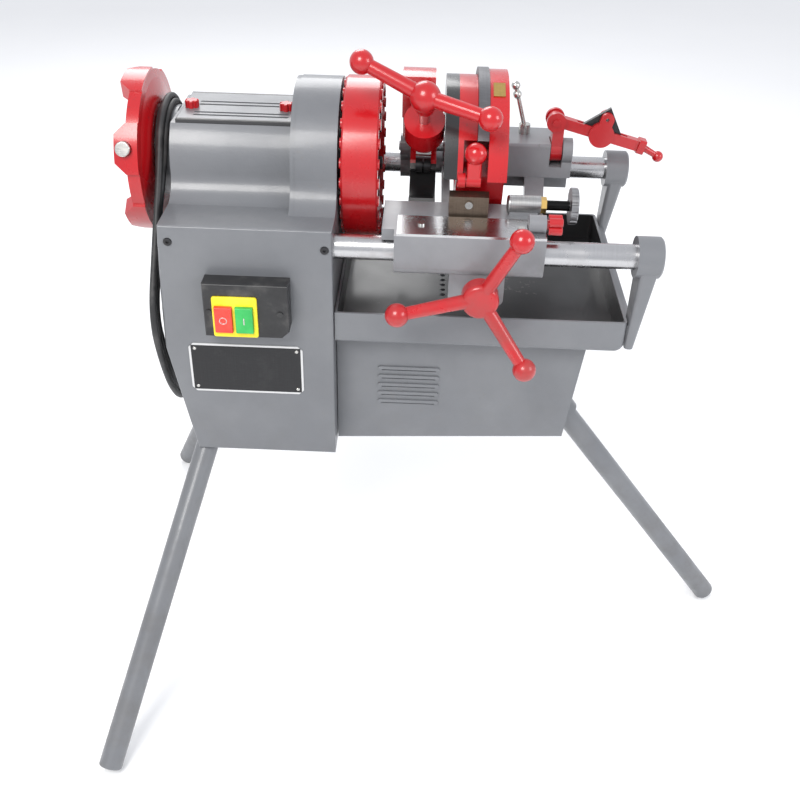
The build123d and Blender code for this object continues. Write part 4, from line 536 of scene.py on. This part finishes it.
finishes = {
    "grey_paint": enamel("grey enamel", grey, grey_shade, rough=0.36, bump=0.10, chips=0.25),
    "casting": enamel("grey enamel on casting", grey, grey_shade, rough=0.34, coarse=1.6, bump=0.28,
                      chips=0.3, dirt_from=0.33, dirt_reach=0.3),
    "tray": enamel("grey enamel, black inside", grey, grey_shade, rough=0.38, bump=0.10, mask=tray_inside),
    "lid": enamel("lid enamel, painted groove shade", grey, grey_shade, rough=0.4, bump=0.15, mask=lid_groove_shade),
    "carriage": enamel("pale grey enamel", pale_grey, pale_grey_shade, rough=0.30, coarse=1.2,
                       bump=0.22, chips=0.6, dirt_from=0.6, dirt_reach=0.06),
    "red_paint": red_enamel("red enamel", dirt_from=0.55, dirt_reach=0.12),
    "plated_screw": bare_metal("plated steel", (0.66, 0.65, 0.62), (0.35, 0.32, 0.27), rough=0.25),
    "ground_steel": bare_metal("ground steel", (0.56, 0.56, 0.57), (0.40, 0.38, 0.36), rough=0.24,
                               marks=0.2, stains=0.25, bump=0.03, contrast=0.06),
    "machined_steel": bare_metal("machined steel", (0.42, 0.42, 0.42), (0.16, 0.14, 0.12), rough=0.30),
    "black_steel": bare_metal("blackened steel", (0.045, 0.045, 0.048), (0.10, 0.09, 0.08), rough=0.34,
                              metallic=0.7),
    "motor_iron": bare_metal("motor iron", (0.20, 0.20, 0.21), (0.08, 0.07, 0.06), rough=0.45),
    "black_plastic": moulded("black plastic", (0.014, 0.014, 0.015), rough=0.38),
    "yellow_plastic": moulded("yellow plastic", (0.80, 0.62, 0.012), rough=0.32, dust=0.05),
    "green_plastic": moulded("green plastic", (0.02, 0.36, 0.07), rough=0.30, dust=0.03),
    "red_plastic": moulded("red plastic", (0.72, 0.035, 0.02), rough=0.30, dust=0.03),
    "plate_metal": bare_metal("blackened plate", (0.020, 0.020, 0.022), (0.05, 0.05, 0.05), rough=0.35,
                              metallic=0.3, mask=plate_border),
    "bronze_block": bare_metal("oily steel", (0.22, 0.17, 0.13), (0.08, 0.06, 0.045), rough=0.38,
                               stains=0.8),
    "valve_metal": bare_metal("valve casting", (0.50, 0.50, 0.50), (0.20, 0.18, 0.15), rough=0.33,
                              mask=brass_nut),
    "valve_wheel_metal": bare_metal("valve wheel", (0.36, 0.36, 0.37), (0.12, 0.11, 0.10), rough=0.35,
                                    mask=black_stem),
    "die_head": red_enamel("red enamel, black back plate", mask=die_head_back),
    "cutter_frame": red_enamel("red enamel, black jaw", mask=lower_jaw),
    "cutter_handle": red_enamel("red enamel, bare screw", chips=0.2, bare=screw_neck),
    "cord_rubber": moulded("cord rubber", (0.016, 0.016, 0.017), rough=0.5, dust=0.12),
    "brass": bare_metal("brass", brass, (0.28, 0.17, 0.05), rough=0.28),
}
special = {
    "headstock_casting": "casting", "chip_tray": "tray", "top_lid": "lid", "carriage": "carriage",
    "die_head_body": "die_head", "cutter_frame": "cutter_frame", "cutter_handle": "cutter_handle",
    "panel_screws": "black_steel", "carriage_lock_lever": "plated_screw", "cam_ring": "motor_iron",
}
slot_of = {entry["node"]: entry["material_slot"] for entry in frame["record"]["subparts"]}


def finish_on(piece, name):
    piece.data.materials.clear()
    piece.data.materials.append(finishes[name])


for name, node in nodes.items():
    finish_on(node, special.get(name, slot_of[name] if slot_of[name] in finishes else "grey_paint"))
finish_on(cord_piece, "cord_rubber")
print("finishes:", len(finishes))

# %% [markdown]
# A few small parts are formed by hand: the rivets of the nameplate, the brass label on
# the rim of the die head, and the plain ring and bar that mark the two buttons.


# %% Small parts
def settle(name, body, finish):
    """Freeze the piece that was just made and let it ride on its body."""
    piece = bpy.context.object
    bpy.ops.object.transform_apply(location=True, rotation=True, scale=True)
    piece.name = name
    piece.data.materials.append(finishes[finish])
    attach(piece, body)
    return piece


plate_low = low("nameplate")
plate_high = high("nameplate")
rivet_r = 2.3 * MM
rivet_inset = 7.5 * MM
rivet_number = 0
for rivet_x in (plate_low.x + rivet_inset, plate_high.x - rivet_inset):
    for rivet_z in (plate_low.z + rivet_inset, plate_high.z - rivet_inset):
        rivet_number += 1
        bpy.ops.object.select_all(action="DESELECT")
        bpy.ops.mesh.primitive_uv_sphere_add(segments=24, ring_count=12, radius=rivet_r,
                                             location=(rivet_x, plate_low.y, rivet_z))
        bpy.context.object.scale = (1, 0.5, 1)
        bpy.ops.object.shade_smooth()
        settle(f"plate_rivet_{rivet_number}", "base", "plated_screw")

label_angle = radians(112)
label_r = 111.1 * MM
label_x = 59 * MM
label_y = spindle_y + label_r * cos(label_angle)
label_z = spindle_z + label_r * sin(label_angle)
label_size = (0.014, 0.024, 0.0016)
bpy.ops.object.select_all(action="DESELECT")
bpy.ops.mesh.primitive_cube_add(size=1, location=(label_x, label_y, label_z),
                                rotation=(label_angle - radians(90), 0, 0))
bpy.context.object.scale = label_size
settle("die_head_label", "die_head", "brass")

ring_r = 4.2 * MM
ring_wire_r = 0.6 * MM
bar_size = (0.0013, 0.0010, 0.0090)
bpy.ops.object.select_all(action="DESELECT")
bpy.ops.mesh.primitive_torus_add(
    location=(middle("stop_button").x, low("stop_button").y, middle("stop_button").z),
    rotation=(radians(90), 0, 0), major_radius=ring_r, minor_radius=ring_wire_r,
    major_segments=48, minor_segments=12)
bpy.ops.object.shade_smooth()
settle("stop_mark", "stop", "plated_screw")
bpy.ops.object.select_all(action="DESELECT")
bpy.ops.mesh.primitive_cube_add(
    size=1, location=(middle("start_button").x, low("start_button").y, middle("start_button").z))
bpy.context.object.scale = bar_size
settle("start_mark", "start", "plated_screw")
print("small parts:", rivet_number, "rivets, a label and two marks")

# %% [markdown]
# The studio floor is matt and nearly white.

# %% Floor finish
floor_finish, wires, shader = new_finish("studio floor")
floor_tone = wires.noise(wires.place(), 3, 2)
wires.put(wires.blend(floor_tone, (0.93, 0.93, 0.93), (0.96, 0.96, 0.96)), shader.inputs["Base Color"])
shader.inputs["Roughness"].default_value = 0.85
floor.data.materials.append(floor_finish)

# %% The end
bpy.context.view_layer.update()
